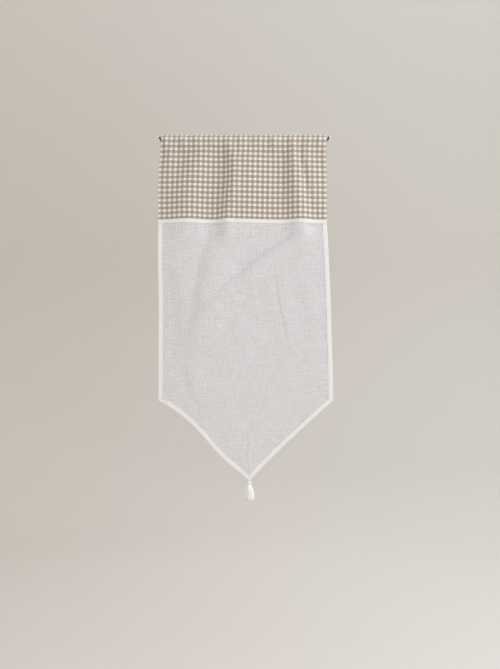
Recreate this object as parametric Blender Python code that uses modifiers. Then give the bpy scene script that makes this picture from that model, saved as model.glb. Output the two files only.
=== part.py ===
"""Pointed cafe curtain on a thin rod, as it hangs in front of a window sash.

A checked cotton panel with a rod pocket is sewn to a sheer panel that ends in a V.
Tape covers the join, folds over the sides and the slanted edges, and a cotton tassel
hangs at the point. X runs to the right, Y runs back towards the window and Z runs up.
The origin is the middle of the left bracket's back face. Tables are in millimetres.
"""

import math
from collections import namedtuple

import bmesh
import bpy
import numpy as np

MM = 0.001
GAP = 0.3

# Rod, knobs and brackets
ROD_DIAMETER = 8.0
ROD_IN_FRONT = 18.0
ROD_SIDES = 24
BRACKET_SPACING = 580.0
BRACKET_WIDTH = 5.0
BRACKET_PLATE_HEIGHT = 18.0
BRACKET_PLATE_THICKNESS = 1.6
BRACKET_ARM_THICKNESS = 3.2
BRACKET_HOOK_THICKNESS = 1.8
BRACKET_LIP_HEIGHT = 2.0
KNOB_DIAMETER = 9.5
KNOB_LENGTH = 6.0
KNOB_ROUNDING = 3.0
KNOB_CHAMFER = 0.4
KNOB_SIDES = 20

# Cloth and tape
CLOTH_THICKNESS = 1.0
TAPE_WIDTH = 14.5
LAYER_STEP = CLOTH_THICKNESS + GAP
SHEER_EDGE_INSET = 2.1
TAPE_INNER_INSET = TAPE_WIDTH + 0.4

# Heights on the checked panel, measured from the rod's axis
HEADING_TOP = 9.2
HEADING_FOOT = 6.1
HEADING_FOLD_RADIUS = 0.75
POCKET_RADIUS = 5.1
POCKET_ANGLES = (0, 36, 62)
POCKET_STITCH = -14.0
POCKET_HEM = -18.0
BELOW_ROD = -7.0
FRONT_HEIGHTS = (-245, -212, -180, -150, -122, -96, -74, -54, -38, -25)
CHECKED_LOWER_EDGE = -293.0

# The join, where both cloths and the band run straight down together
JOIN_TOP = -275.0
BAND_TOP = -281.0
SHEER_TOP = -283.0
BAND_FOOT = -295.0
JOIN_FOOT = -297.0

# The sheer panel's corners and the tip of its V
CORNER_LEFT_X = -5.2
CORNER_RIGHT_X = 596.9
CORNER_Z = -908.0
TIP_X = 308.0
TIP_Z = -1186.0

# Cloth grid: columns to each side of the tip, and rows below the join
COLUMNS_LEFT = 20
COLUMNS_RIGHT = 18
SHEER_ROWS = 14

# Depth of the cloth, measured forwards from the rod's axis
VALLEY_DEPTH = -7.0
FREE_BELOW = 3.0
FREE_RUN = 67.0
JOIN_FADE = 165.0
DRAG_ONSET = 40.0
LOWER_DEPTH = -1.0
SWAY_HEIGHT = 3.5
SWAY_LENGTH = 620.0
SWAY_PHASE = 0.8
BACK_PUCKER_SHARE = 0.5
BACK_PUCKER_SHIFT = 24.0
HEADING_LEAN = 0.3
HEM_GAP = 0.55

# Outline of the cloth: a height and the left and right edges there
Outline = namedtuple("Outline", "z left right")
OUTLINE = (
    Outline(9.7, 5.2, 575.2),
    Outline(-18.0, 3.1, 573.6),
    Outline(-59.0, -1.0, 573.2),
    Outline(-115.0, -5.2, 574.6),
    Outline(-170.0, -7.0, 575.8),
    Outline(-225.0, -7.5, 575.9),
    Outline(-275.0, -7.2, 575.9),
    Outline(-300.0, -7.2, 575.9),
    Outline(-391.0, -7.4, 580.5),
    Outline(-473.0, -6.4, 583.7),
    Outline(-556.0, -5.2, 587.4),
    Outline(-639.0, -4.6, 590.0),
    Outline(-722.0, -5.5, 592.4),
    Outline(-805.0, -5.4, 595.1),
    Outline(-887.0, -5.8, 595.8),
    Outline(-908.0, -5.2, 596.9),
)

# How far each slanted edge bows up from a straight line, from the corner to the tip
Bow = namedtuple("Bow", "share rise")
BOW_LEFT = (
    Bow(0.0, 0.0),
    Bow(0.1, 10.0),
    Bow(0.28, 19.3),
    Bow(0.44, 17.4),
    Bow(0.6, 3.8),
    Bow(0.8, -1.5),
    Bow(1.0, 0.0),
)
BOW_RIGHT = (
    Bow(0.0, 0.0),
    Bow(0.1, 2.8),
    Bow(0.5, 7.6),
    Bow(0.9, 3.8),
    Bow(1.0, 0.0),
)

# Folds of the checked panel: the crest's place and height at three levels below the rod,
# and the widths of its steep left side and its gentle right side at the first and the last
FOLD_LEVELS = (20.0, 110.0, 275.0)
Fold = namedtuple("Fold", "x_top x_mid x_low top mid low left_top left_low right_top right_low")
FOLDS = (
    Fold(34.0, 30.0, 20.0, 7.0, 3.0, 0.0, 24.0, 24.0, 34.0, 34.0),
    Fold(156.0, 118.0, 92.0, 9.0, 14.0, 16.0, 60.0, 96.0, 52.0, 84.0),
    Fold(272.0, 270.0, 242.0, 12.0, 18.0, 15.0, 52.0, 50.0, 150.0, 170.0),
    Fold(236.0, 245.0, 220.0, 6.0, 7.0, 7.0, 26.0, 34.0, 34.0, 50.0),
    Fold(460.0, 463.0, 484.0, 11.0, 16.0, 15.0, 28.0, 60.0, 28.0, 60.0),
    Fold(490.0, 512.0, 540.0, 8.0, 7.5, 0.0, 22.0, 30.0, 60.0, 40.0),
)

# Small puckers where the cloth is gathered on the rod
Pucker = namedtuple("Pucker", "x height left right")
PUCKERS = (
    Pucker(20.0, 4.0, 15.0, 24.0),
    Pucker(75.0, 4.0, 16.0, 26.0),
    Pucker(128.0, 3.0, 16.0, 24.0),
    Pucker(178.0, 4.0, 15.0, 22.0),
    Pucker(230.0, 4.5, 16.0, 22.0),
    Pucker(280.0, 4.0, 16.0, 28.0),
    Pucker(336.0, 3.0, 18.0, 26.0),
    Pucker(392.0, 3.5, 18.0, 26.0),
    Pucker(452.0, 4.5, 16.0, 22.0),
    Pucker(505.0, 3.5, 18.0, 26.0),
    Pucker(548.0, 2.5, 16.0, 22.0),
)

# Soft folds that cross the sheer panel: the top, middle and foot of each crest line, its
# height and side widths. Some crest lines start above the join
Drag = namedtuple("Drag", "x_top z_top x_mid x_low z_low height left right")
DRAGS = (
    Drag(690.0, -200.0, 366.0, 120.0, -630.0, 10.0, 42.0, 100.0),
    Drag(236.0, -230.0, 166.0, 132.0, -760.0, 12.0, 54.0, 110.0),
    Drag(396.0, -420.0, 424.0, 462.0, -760.0, 3.0, 26.0, 60.0),
    Drag(48.0, -300.0, 80.0, 96.0, -760.0, 5.0, 50.0, 90.0),
)

# Tassel: a head with a wrapped neck, hung close under the tip, and its skirt
TASSEL_TOP = TIP_Z - 0.85
TASSEL_BOTTOM = -1250.5
TASSEL_SIDES = 20
HEAD_RADIUS = 6.5
HEAD_HEIGHT = 8.5
HEAD_ANGLES = (62, 35, 5, -25)
NECK_RADIUS = 4.6
NECK_BELOW_WRAP = 1.2
WRAP_RADIUS = 5.1
WRAP_HEIGHT = 4.5
WRAP_ROUNDING = 0.5
ROOT_INSIDE = 0.8
SHOULDER_DROP = 6.0
SKIRT_FLATNESS = 0.72
STRAND_RADII = (0.45, 1.0, 1.9)
StrandRing = namedtuple("StrandRing", "count root shoulder foot length turn")
STRAND_RINGS = (
    StrandRing(22, 3.7, 8.2, 16.4, 1.0, 0.0),
    StrandRing(14, 2.4, 5.2, 11.0, 0.97, 0.2),
    StrandRing(7, 1.1, 2.4, 5.4, 0.98, 0.1),
    StrandRing(1, 0.0, 0.0, 0.6, 0.95, 0.0),
)

Finish = namedtuple("Finish", "colour roughness metallic")
FINISHES = {
    "checked cotton": Finish((0.51, 0.44, 0.36), 0.9, 0.0),
    "sheer linen": Finish((0.84, 0.83, 0.81), 0.9, 0.0),
    "white tape": Finish((0.9, 0.89, 0.87), 0.85, 0.0),
    "cotton yarn": Finish((0.88, 0.86, 0.83), 0.9, 0.0),
    "satin nickel": Finish((0.72, 0.71, 0.69), 0.35, 1.0),
    "dark steel": Finish((0.12, 0.11, 0.1), 0.5, 1.0),
}


def clear_scene():
    """Remove the objects that the scene holds."""
    for thing in list(bpy.data.objects):
        bpy.data.objects.remove(thing, do_unlink=True)


def new_collection(name):
    """Add a collection to the scene."""
    collection = bpy.data.collections.new(name)
    bpy.context.scene.collection.children.link(collection)
    return collection


def make_material(name):
    """Principled material from the table of finishes."""
    finish = FINISHES[name]
    material = bpy.data.materials.new(name)
    material.use_nodes = True
    shader = material.node_tree.nodes["Principled BSDF"]
    shader.inputs["Base Color"].default_value = (*finish.colour, 1.0)
    shader.inputs["Roughness"].default_value = finish.roughness
    shader.inputs["Metallic"].default_value = finish.metallic
    material.diffuse_color = (*finish.colour, 1.0)
    return material


def add_object(name, data, collection, parent, material):
    """Link an object, parent it to the curtain's empty and give it its finish."""
    piece = bpy.data.objects.new(name, data)
    collection.objects.link(piece)
    piece.parent = parent
    data.materials.append(material)
    return piece


def side_sign(side):
    """-1 on the left and 1 on the right."""
    return -1.0 if side == "left" else 1.0


def bracket_x(side):
    """Middle of a bracket along the rod."""
    return 0.0 if side == "left" else BRACKET_SPACING


def smooth_step(value):
    """Rise smoothly from 0 to 1 as the value goes from 0 to 1."""
    share = np.clip(value, 0.0, 1.0)
    return share * share * (3.0 - 2.0 * share)


def bump(distance, left, right):
    """Rounded ridge of height 1 with its own width on each side."""
    width = np.where(distance < 0.0, left, right)
    return 0.5 + 0.5 * np.cos(np.pi * np.clip(np.abs(distance) / width, 0.0, 1.0))


def edges_at(z):
    """Left and right edge of the cloth at a height."""
    depths = [-row.z for row in OUTLINE]
    left = np.interp(-z, depths, [row.left for row in OUTLINE])
    right = np.interp(-z, depths, [row.right for row in OUTLINE])
    return left, right


def slant_height(x, corner_x, bows):
    """Height of one slanted edge's outer line: a straight run with its bow."""
    share = (x - corner_x) / (TIP_X - corner_x)
    bow = np.interp(share, [row.share for row in bows], [row.rise for row in bows])
    return CORNER_Z + (TIP_Z - CORNER_Z) * share + bow


def hem_height(x, inset):
    """Height of the V at a distance in from its outer line."""
    heights = []
    for corner_x, bows in ((CORNER_LEFT_X, BOW_LEFT), (CORNER_RIGHT_X, BOW_RIGHT)):
        ahead = slant_height(x + TAPE_WIDTH, corner_x, bows)
        behind = slant_height(x - TAPE_WIDTH, corner_x, bows)
        slope = (ahead - behind) / (2.0 * TAPE_WIDTH)
        heights.append(slant_height(x, corner_x, bows) + inset * np.sqrt(1.0 + slope * slope))
    return np.where(x < TIP_X, heights[0], heights[1])


def pucker_at(x):
    """How far the gathered cloth stands off the rod at the front."""
    return sum(p.height * bump(x - p.x, p.left, p.right) for p in PUCKERS)


def back_pucker_at(x):
    """How far the gathered cloth stands off the rod at the back."""
    return BACK_PUCKER_SHARE * pucker_at(x + BACK_PUCKER_SHIFT)


def checked_depth(x, z):
    """Depth of the checked panel's free folds."""
    down = -z
    depth = np.full(np.shape(x), VALLEY_DEPTH)
    for fold in FOLDS:
        crest = np.interp(down, FOLD_LEVELS, (fold.x_top, fold.x_mid, fold.x_low))
        height = np.interp(down, FOLD_LEVELS, (fold.top, fold.mid, fold.low))
        left = np.interp(down, FOLD_LEVELS[::2], (fold.left_top, fold.left_low))
        right = np.interp(down, FOLD_LEVELS[::2], (fold.right_top, fold.right_low))
        depth = depth + height * bump(x - crest, left, right)
    return depth


def front_depth(x, z):
    """Depth of the front layer: off the rod in its pocket, in free folds below it."""
    gathered = POCKET_RADIUS + pucker_at(x)
    free = smooth_step((-z - FREE_BELOW) / FREE_RUN)
    return gathered * (1.0 - free) + checked_depth(x, z) * free


def back_depth(x, z):
    """Depth of the back layer, from behind the rod to the pocket's stitch line."""
    behind = -POCKET_RADIUS - back_pucker_at(x)
    stitched = smooth_step((-z - FREE_BELOW) / (-POCKET_STITCH - FREE_BELOW))
    touching = front_depth(x, z) - CLOTH_THICKNESS - HEM_GAP
    return behind * (1.0 - stitched) + touching * stitched


def joined_depth(x):
    """Depth of the sheer panel behind the join."""
    return checked_depth(x, JOIN_TOP) - LAYER_STEP


def sheer_depth(x, z):
    """Depth of the sheer panel: the join's folds die away into soft drag folds."""
    below = smooth_step((JOIN_FOOT - z) / JOIN_FADE)
    sway = LOWER_DEPTH + SWAY_HEIGHT * np.sin(2.0 * np.pi * x / SWAY_LENGTH + SWAY_PHASE)
    depth = joined_depth(x) * (1.0 - below) + sway * below
    onset = smooth_step((JOIN_FOOT - z) / DRAG_ONSET)
    for drag in DRAGS:
        share = np.clip((z - drag.z_top) / (drag.z_low - drag.z_top), 0.0, 1.0)
        crest = np.interp(share, (0.0, 0.5, 1.0), (drag.x_top, drag.x_mid, drag.x_low))
        strength = onset * np.sin(np.pi * share)
        depth = depth + drag.height * strength * bump(x - crest, drag.left, drag.right)
    return depth


def column_shares():
    """Shares of the width for the cloth's columns, with one column on the tip."""
    width = CORNER_RIGHT_X - CORNER_LEFT_X
    tip = (TIP_X - CORNER_LEFT_X) / width
    side = TAPE_INNER_INSET / width
    left = np.linspace(side, tip, COLUMNS_LEFT + 1)
    right = np.linspace(tip, 1.0 - side, COLUMNS_RIGHT + 1)[1:]
    return np.concatenate(([0.0], left, right, [1.0]))


def row_x(z, edge_inset=0.0):
    """Places across the cloth at a row's height, its end columns on the tape's lines."""
    shares = column_shares()
    left, right = edges_at(np.broadcast_to(z, shares.shape))
    x = left + shares * (right - left)
    x[0] = left[0] + edge_inset
    x[1] = left[1] + TAPE_INNER_INSET
    x[-2] = right[-2] - TAPE_INNER_INSET
    x[-1] = right[-1] - edge_inset
    return x


def row_points(x, depth, z):
    """One row of grid points from its depth forwards of the rod's axis."""
    return np.stack(np.broadcast_arrays(x, -ROD_IN_FRONT - depth, z), axis=-1)


def over_rod(x, pucker, side):
    """Rows of the pocket over a quarter of the rod, on its front or its back side."""
    rows = []
    for degrees in POCKET_ANGLES:
        turn = math.radians(degrees)
        reach = (POCKET_RADIUS + pucker * math.cos(turn)) * math.cos(turn)
        rows.append(row_points(x, side * reach, POCKET_RADIUS * math.sin(turn)))
    return rows


def checked_grid():
    """The checked panel's section, row by row: up the front, over the rod, down the back."""
    rows = []
    for z in (CHECKED_LOWER_EDGE, JOIN_TOP, *FRONT_HEIGHTS, POCKET_STITCH, BELOW_ROD):
        x = row_x(z)
        rows.append(row_points(x, front_depth(x, z), z))
    x = row_x(0.0)
    lean = HEADING_LEAN * (pucker_at(x) - back_pucker_at(x))
    fold_z = HEADING_TOP - HEADING_FOLD_RADIUS - 0.5 * CLOTH_THICKNESS
    rows += over_rod(x, pucker_at(x), 1.0)
    rows.append(row_points(x, lean + HEADING_FOLD_RADIUS, HEADING_FOOT))
    for degrees in (0, 60, 120, 180):
        turn = math.radians(degrees)
        reach = lean + HEADING_FOLD_RADIUS * math.cos(turn)
        rows.append(row_points(x, reach, fold_z + HEADING_FOLD_RADIUS * math.sin(turn)))
    rows.append(row_points(x, lean - HEADING_FOLD_RADIUS, HEADING_FOOT))
    rows += over_rod(x, back_pucker_at(x), -1.0)[::-1]
    for z in (BELOW_ROD, POCKET_STITCH, POCKET_HEM):
        x = row_x(z)
        rows.append(row_points(x, back_depth(x, z), z))
    return np.array(rows)


def sheer_grid():
    """The sheer panel's grid: level rows at the join that bend down into the V."""
    rows = []
    for z in (SHEER_TOP, JOIN_FOOT):
        x = row_x(z, SHEER_EDGE_INSET)
        rows.append(row_points(x, joined_depth(x), z))
    foot_x = row_x(CORNER_Z, SHEER_EDGE_INSET)
    inner_foot = hem_height(foot_x, TAPE_INNER_INSET)
    shares = [k / SHEER_ROWS for k in range(1, SHEER_ROWS + 1)]
    heights = [JOIN_FOOT + (inner_foot - JOIN_FOOT) * share for share in shares]
    for z in heights + [hem_height(foot_x, SHEER_EDGE_INSET)]:
        x = row_x(z, SHEER_EDGE_INSET)
        rows.append(row_points(x, sheer_depth(x, z), z))
    return np.array(rows)


def band_grid():
    """The band's middle surface, one layer in front of the join."""
    rows = []
    for z in (BAND_TOP, BAND_FOOT):
        x = row_x(z)
        rows.append(row_points(x, checked_depth(x, JOIN_TOP), z))
    points = np.array(rows)
    return points + grid_normals(points) * LAYER_STEP


def grid_normals(points):
    """Unit normals of a grid, turned to the front."""
    normals = np.cross(np.gradient(points, axis=1), np.gradient(points, axis=0))
    normals /= np.linalg.norm(normals, axis=-1, keepdims=True)
    return np.where(normals[..., 1:2] > 0.0, -normals, normals)


def grid_quads(rows, columns):
    """Corner numbers of every quad in a grid, and of the grid itself."""
    first = np.arange(rows * columns).reshape(rows, columns)
    quads = np.stack([first[:-1, :-1], first[1:, :-1], first[1:, 1:], first[:-1, 1:]], axis=-1)
    return quads.reshape(-1, 4), first


def add_cloth(name, points, collection, parent, material):
    """A sheet of cloth: its middle surface, thickened evenly to both sides."""
    quads, _ = grid_quads(*points.shape[:2])
    mesh = bpy.data.meshes.new(name)
    mesh.from_pydata((points.reshape(-1, 3) * MM).tolist(), [], quads.tolist())
    mesh.shade_smooth()
    piece = add_object(name, mesh, collection, parent, material)
    thickness = piece.modifiers.new("Cloth thickness", "SOLIDIFY")
    thickness.thickness = CLOTH_THICKNESS * MM
    thickness.offset = 0.0
    return piece


def tape_profile(radius):
    """One side of the folded tape's section: distance in from its fold, and to the front."""
    centre = LAYER_STEP + 0.5 * CLOTH_THICKNESS
    profile = [(TAPE_WIDTH, radius)]
    for degrees in (90, 135, 180, 225, 270):
        turn = math.radians(degrees)
        profile.append((centre + radius * math.cos(turn), radius * math.sin(turn)))
    profile.append((TAPE_WIDTH, -radius))
    return profile


def tape_layer(edge, inner, edge_normals, inner_normals, radius):
    """Carry one side of the section along the cloth's edge and the line inside it."""
    span = TAPE_INNER_INSET - SHEER_EDGE_INSET
    lines = []
    for inset, forward in tape_profile(radius):
        share = (inset - SHEER_EDGE_INSET) / span
        middle = edge + (inner - edge) * share
        normals = edge_normals + (inner_normals - edge_normals) * np.clip(share, 0.0, 1.0)
        normals /= np.linalg.norm(normals, axis=-1, keepdims=True)
        lines.append(middle + normals * forward)
    return np.array(lines)


def add_tape(name, lines, collection, parent, material):
    """A folded tape with mitred ends: the shell between its outer and its inner side."""
    outer = tape_layer(*lines, LAYER_STEP + 0.5 * CLOTH_THICKNESS)
    inner = tape_layer(*lines, LAYER_STEP - 0.5 * CLOTH_THICKNESS)
    quads, first = grid_quads(*outer.shape[:2])
    rim = np.concatenate([first[0, :], first[1:, -1], first[-1, -2::-1], first[-2:0:-1, 0]])
    after = np.roll(rim, -1)
    walls = np.stack([rim, after, after + first.size, rim + first.size], axis=-1)
    points = np.concatenate([outer.reshape(-1, 3), inner.reshape(-1, 3)]) * MM
    faces = np.concatenate([quads, quads[:, ::-1] + first.size, walls])
    mesh = bpy.data.meshes.new(name)
    mesh.from_pydata(points.tolist(), [], faces.tolist())
    bm = bmesh.new()
    bm.from_mesh(mesh)
    bmesh.ops.recalc_face_normals(bm, faces=bm.faces)
    bm.to_mesh(mesh)
    bm.free()
    return add_object(name, mesh, collection, parent, material)


def seen_from(side, grid):
    """The grid with its columns counted from one side of the curtain."""
    return grid if side == "left" else grid[:, ::-1]


def side_tape_lines(grid, normals):
    """Edge and inner line of a side tape, from below the band to the corner's mitre."""
    share = (BAND_FOOT - GAP - SHEER_TOP) / (JOIN_FOOT - SHEER_TOP)
    start = grid[0] + (grid[1] - grid[0]) * share
    mitre = np.array((0.0, 0.0, 0.5 * GAP))
    edge = np.vstack([start[0], grid[2:-2, 0], grid[-1, 0] + mitre])
    inner = np.vstack([start[1], grid[2:-2, 1], grid[-2, 1] + mitre])
    edge_normals = np.vstack([normals[1:-2, 0], normals[-1, 0]])
    inner_normals = np.vstack([normals[1:-2, 1], normals[-2, 1]])
    return edge, inner, edge_normals, inner_normals


def slant_tape_lines(grid, normals, side):
    """Edge and inner line of a slanted tape, from the corner's mitre to the tip's."""
    run = slice(2, (COLUMNS_LEFT if side == "left" else COLUMNS_RIGHT) + 2)
    mitre = np.array((0.0, 0.0, -0.5 * GAP))
    edge = np.vstack([grid[-1, 0] + mitre, grid[-1, run]])
    inner = np.vstack([grid[-2, 1] + mitre, grid[-2, run]])
    edge[-1, 0] = TIP_X + side_sign(side) * 0.5 * GAP
    inner[-1, 0] = edge[-1, 0]
    edge_normals = np.vstack([normals[-1, 0], normals[-1, run]])
    inner_normals = np.vstack([normals[-2, 1], normals[-2, run]])
    return edge, inner, edge_normals, inner_normals


def add_tapes(grid, collection, parent, material):
    """Tape over both sides and both slanted edges of the sheer panel."""
    normals = grid_normals(grid)
    for side in ("left", "right"):
        columns = seen_from(side, grid)
        facing = seen_from(side, normals)
        straight = side_tape_lines(columns, facing)
        slanted = slant_tape_lines(columns, facing, side)
        add_tape("side_binding_" + side, straight, collection, parent, material)
        add_tape("slant_binding_" + side, slanted, collection, parent, material)


def add_rod(collection, parent, material):
    """Round rod that reaches just past both brackets."""
    bm = bmesh.new()
    bmesh.ops.create_cone(
        bm,
        cap_ends=True,
        segments=ROD_SIDES,
        radius1=0.5 * ROD_DIAMETER * MM,
        radius2=0.5 * ROD_DIAMETER * MM,
        depth=(BRACKET_SPACING + BRACKET_WIDTH + 2.0 * GAP) * MM,
    )
    mesh = bpy.data.meshes.new("rod")
    bm.to_mesh(mesh)
    bm.free()
    mesh.shade_smooth()
    mesh.set_sharp_from_angle(angle=math.radians(40.0))
    rod = add_object("rod", mesh, collection, parent, material)
    rod.location = (0.5 * BRACKET_SPACING * MM, -ROD_IN_FRONT * MM, 0.0)
    rod.rotation_euler = (0.0, math.radians(90.0), 0.0)
    return rod


def add_turned(name, profile, steps, collection, parent, material):
    """Turn a profile of radius and height round the object's Z axis."""
    mesh = bpy.data.meshes.new(name)
    points = [(radius * MM, 0.0, height * MM) for radius, height in profile]
    mesh.from_pydata(points, [(k, k + 1) for k in range(len(points) - 1)], [])
    piece = add_object(name, mesh, collection, parent, material)
    screw = piece.modifiers.new("Turned", "SCREW")
    screw.steps = steps
    screw.render_steps = steps
    screw.use_merge_vertices = True
    screw.merge_threshold = 0.00001
    return piece


def knob_profile():
    """A rod end: a short drum with its outer rim rounded over."""
    radius = 0.5 * KNOB_DIAMETER
    profile = [(0.0, KNOB_LENGTH)]
    for degrees in (90, 60, 30, 0):
        turn = math.radians(degrees)
        out = radius - KNOB_ROUNDING + KNOB_ROUNDING * math.cos(turn)
        profile.append((out, KNOB_LENGTH - KNOB_ROUNDING + KNOB_ROUNDING * math.sin(turn)))
    profile.append((radius, KNOB_CHAMFER))
    profile.append((radius - KNOB_CHAMFER, 0.0))
    profile.append((0.0, 0.0))
    return profile


def add_knob(side, collection, parent, material):
    """Rounded end of the rod, outside its bracket."""
    knob = add_turned("rod_knob_" + side, knob_profile(), KNOB_SIDES, collection, parent, material)
    outwards = side_sign(side)
    inner_face = bracket_x(side) + outwards * (0.5 * BRACKET_WIDTH + 2.0 * GAP)
    knob.location = (inner_face * MM, -ROD_IN_FRONT * MM, 0.0)
    knob.rotation_euler = (0.0, math.radians(90.0 * outwards), 0.0)
    return knob


def hook_arc(radius, first, last, steps):
    """Points of an arc round the rod's axis, as Y and Z, from one angle to another."""
    turns = np.radians(np.linspace(first, last, steps))
    return [(-ROD_IN_FRONT + radius * math.cos(t), radius * math.sin(t)) for t in turns]


def bracket_outline():
    """Side view of a bracket, as Y and Z: back plate, arm and open hook under the rod."""
    inner = 0.5 * ROD_DIAMETER + GAP
    outer = inner + BRACKET_HOOK_THICKNESS
    plate = -BRACKET_PLATE_THICKNESS
    half = 0.5 * BRACKET_PLATE_HEIGHT
    arm_angle = -math.degrees(math.asin(BRACKET_ARM_THICKNESS / outer))
    points = [(0.0, -half), (plate, -half), (plate, -BRACKET_ARM_THICKNESS)]
    points += hook_arc(outer, arm_angle, -180.0, 11)
    points.append((-ROD_IN_FRONT - outer, BRACKET_LIP_HEIGHT))
    points.append((-ROD_IN_FRONT - inner, BRACKET_LIP_HEIGHT))
    points += hook_arc(inner, -180.0, 0.0, 13)
    points += [(plate, 0.0), (plate, half), (0.0, half)]
    return points


def add_bracket(side, collection, parent, material):
    """Flat hook that stands out from the sash and carries the rod."""
    name = "rod_bracket_" + side
    curve = bpy.data.curves.new(name, "CURVE")
    curve.dimensions = "2D"
    curve.fill_mode = "BOTH"
    curve.extrude = 0.5 * BRACKET_WIDTH * MM
    outline = bracket_outline()
    spline = curve.splines.new("POLY")
    spline.points.add(len(outline) - 1)
    for point, (y, z) in zip(spline.points, outline):
        point.co = (y * MM, z * MM, 0.0, 1.0)
    spline.use_cyclic_u = True
    bracket = add_object(name, curve, collection, parent, material)
    bracket.location = (bracket_x(side) * MM, 0.0, 0.0)
    bracket.rotation_euler = (math.radians(90.0), 0.0, math.radians(90.0))
    return bracket


def head_profile():
    """The tassel's head, wrapped neck and root plug: radius and depth below the top."""
    neck = -HEAD_HEIGHT
    wrap_foot = neck - WRAP_HEIGHT
    profile = [(0.0, 0.0)]
    for degrees in HEAD_ANGLES:
        turn = math.radians(degrees)
        height = 0.5 * HEAD_HEIGHT * (math.sin(turn) - 1.0)
        profile.append((HEAD_RADIUS * math.cos(turn), height))
    profile.append((NECK_RADIUS, neck))
    profile.append((WRAP_RADIUS, neck - WRAP_ROUNDING))
    profile.append((WRAP_RADIUS, wrap_foot + WRAP_ROUNDING))
    profile.append((NECK_RADIUS, wrap_foot))
    profile.append((NECK_RADIUS, wrap_foot - NECK_BELOW_WRAP))
    profile.append((0.0, wrap_foot - NECK_BELOW_WRAP))
    return profile


def strand_curve():
    """All strands of the skirt as four-sided tubes that fan out from their roots."""
    curve = bpy.data.curves.new("tassel_strands", "CURVE")
    curve.dimensions = "3D"
    curve.bevel_depth = MM
    curve.bevel_resolution = 0
    curve.use_fill_caps = True
    root_z = -HEAD_HEIGHT - WRAP_HEIGHT + ROOT_INSIDE
    for ring in STRAND_RINGS:
        reaches = (ring.root, ring.shoulder, ring.foot)
        foot_z = (TASSEL_BOTTOM - TASSEL_TOP) * ring.length
        heights = (root_z, root_z - SHOULDER_DROP, foot_z)
        for k in range(ring.count):
            turn = 2.0 * math.pi * (k + ring.turn) / ring.count
            spline = curve.splines.new("POLY")
            spline.points.add(len(reaches) - 1)
            for point, reach, z, radius in zip(spline.points, reaches, heights, STRAND_RADII):
                x = reach * math.cos(turn)
                y = reach * math.sin(turn) * SKIRT_FLATNESS
                point.co = (x * MM, y * MM, z * MM, 1.0)
                point.radius = radius
    return curve


def mesh_from_curve(curve, name, collection):
    """Turn a curve into a mesh object with welded caps."""
    holder = bpy.data.objects.new(name, curve)
    collection.objects.link(holder)
    bpy.context.view_layer.update()
    evaluated = holder.evaluated_get(bpy.context.evaluated_depsgraph_get())
    mesh = bpy.data.meshes.new_from_object(evaluated)
    matrix = holder.matrix_world.copy()
    bpy.data.objects.remove(holder, do_unlink=True)
    bm = bmesh.new()
    bm.from_mesh(mesh)
    bmesh.ops.remove_doubles(bm, verts=bm.verts, dist=0.000001)
    bm.to_mesh(mesh)
    bm.free()
    piece = bpy.data.objects.new(name, mesh)
    collection.objects.link(piece)
    piece.matrix_world = matrix
    return piece


def add_tassel(tip_y, collection, cutters, parent, material):
    """Tassel under the tip: a turned head with its strands fused into the root plug."""
    tassel = add_turned("tassel", head_profile(), TASSEL_SIDES, collection, parent, material)
    tassel.location = (TIP_X * MM, tip_y * MM, TASSEL_TOP * MM)
    strands = mesh_from_curve(strand_curve(), "tassel_strands", cutters)
    strands.parent = parent
    strands.location = tassel.location
    strands.hide_render = True
    strands.display_type = "WIRE"
    union = tassel.modifiers.new("Strands", "BOOLEAN")
    union.operation = "UNION"
    union.solver = "EXACT"
    union.use_self = True
    union.object = strands
    return tassel


def main():
    """Build the curtain, its rod and its brackets."""
    clear_scene()
    collection = new_collection("Cafe curtain with rod")
    cutters = new_collection("Shapes to join")
    frame = bpy.data.objects.new("curtain_frame", None)
    collection.objects.link(frame)
    materials = {name: make_material(name) for name in FINISHES}

    sheer = sheer_grid()
    tip_y = sheer[-1, COLUMNS_LEFT + 1, 1]
    add_cloth("checked_panel", checked_grid(), collection, frame, materials["checked cotton"])
    add_cloth("sheer_panel", sheer, collection, frame, materials["sheer linen"])
    add_cloth("join_band", band_grid(), collection, frame, materials["white tape"])
    add_tapes(sheer, collection, frame, materials["white tape"])
    add_tassel(tip_y, collection, cutters, frame, materials["cotton yarn"])
    add_rod(collection, frame, materials["satin nickel"])
    for side in ("left", "right"):
        add_knob(side, collection, frame, materials["satin nickel"])
        add_bracket(side, collection, frame, materials["dark steel"])


main()
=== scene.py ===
"""Looks of a pointed cafe curtain on its rod: checked cotton, sheer linen, tape and tassel.

The cloth is worked out from the depth of its folds in front of the rod, as in the solid
model. Tables are in millimetres, and everything else is in metres.
"""

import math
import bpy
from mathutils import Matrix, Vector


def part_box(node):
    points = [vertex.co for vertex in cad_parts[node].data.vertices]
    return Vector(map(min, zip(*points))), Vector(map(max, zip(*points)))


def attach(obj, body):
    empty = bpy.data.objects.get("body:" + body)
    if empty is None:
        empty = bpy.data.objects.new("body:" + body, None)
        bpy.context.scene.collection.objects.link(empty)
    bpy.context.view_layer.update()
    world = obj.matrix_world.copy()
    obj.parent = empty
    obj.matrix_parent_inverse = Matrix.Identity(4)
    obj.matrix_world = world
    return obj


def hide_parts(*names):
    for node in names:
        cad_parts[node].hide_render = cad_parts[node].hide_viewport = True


bl_info = {
    "name": "Cafe Curtain",
    "version": (1, 0, 0),
    "blender": (4, 5, 0),
    "location": "View3D > Sidebar > Curtain",
    "description": "Builds a pointed cafe curtain with its rod, tape and tassel",
    "category": "Object",
}

from collections import namedtuple

import bmesh
import bpy
import numpy as np
from bpy.props import FloatProperty, FloatVectorProperty, IntProperty, PointerProperty
from mathutils import Vector

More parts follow.
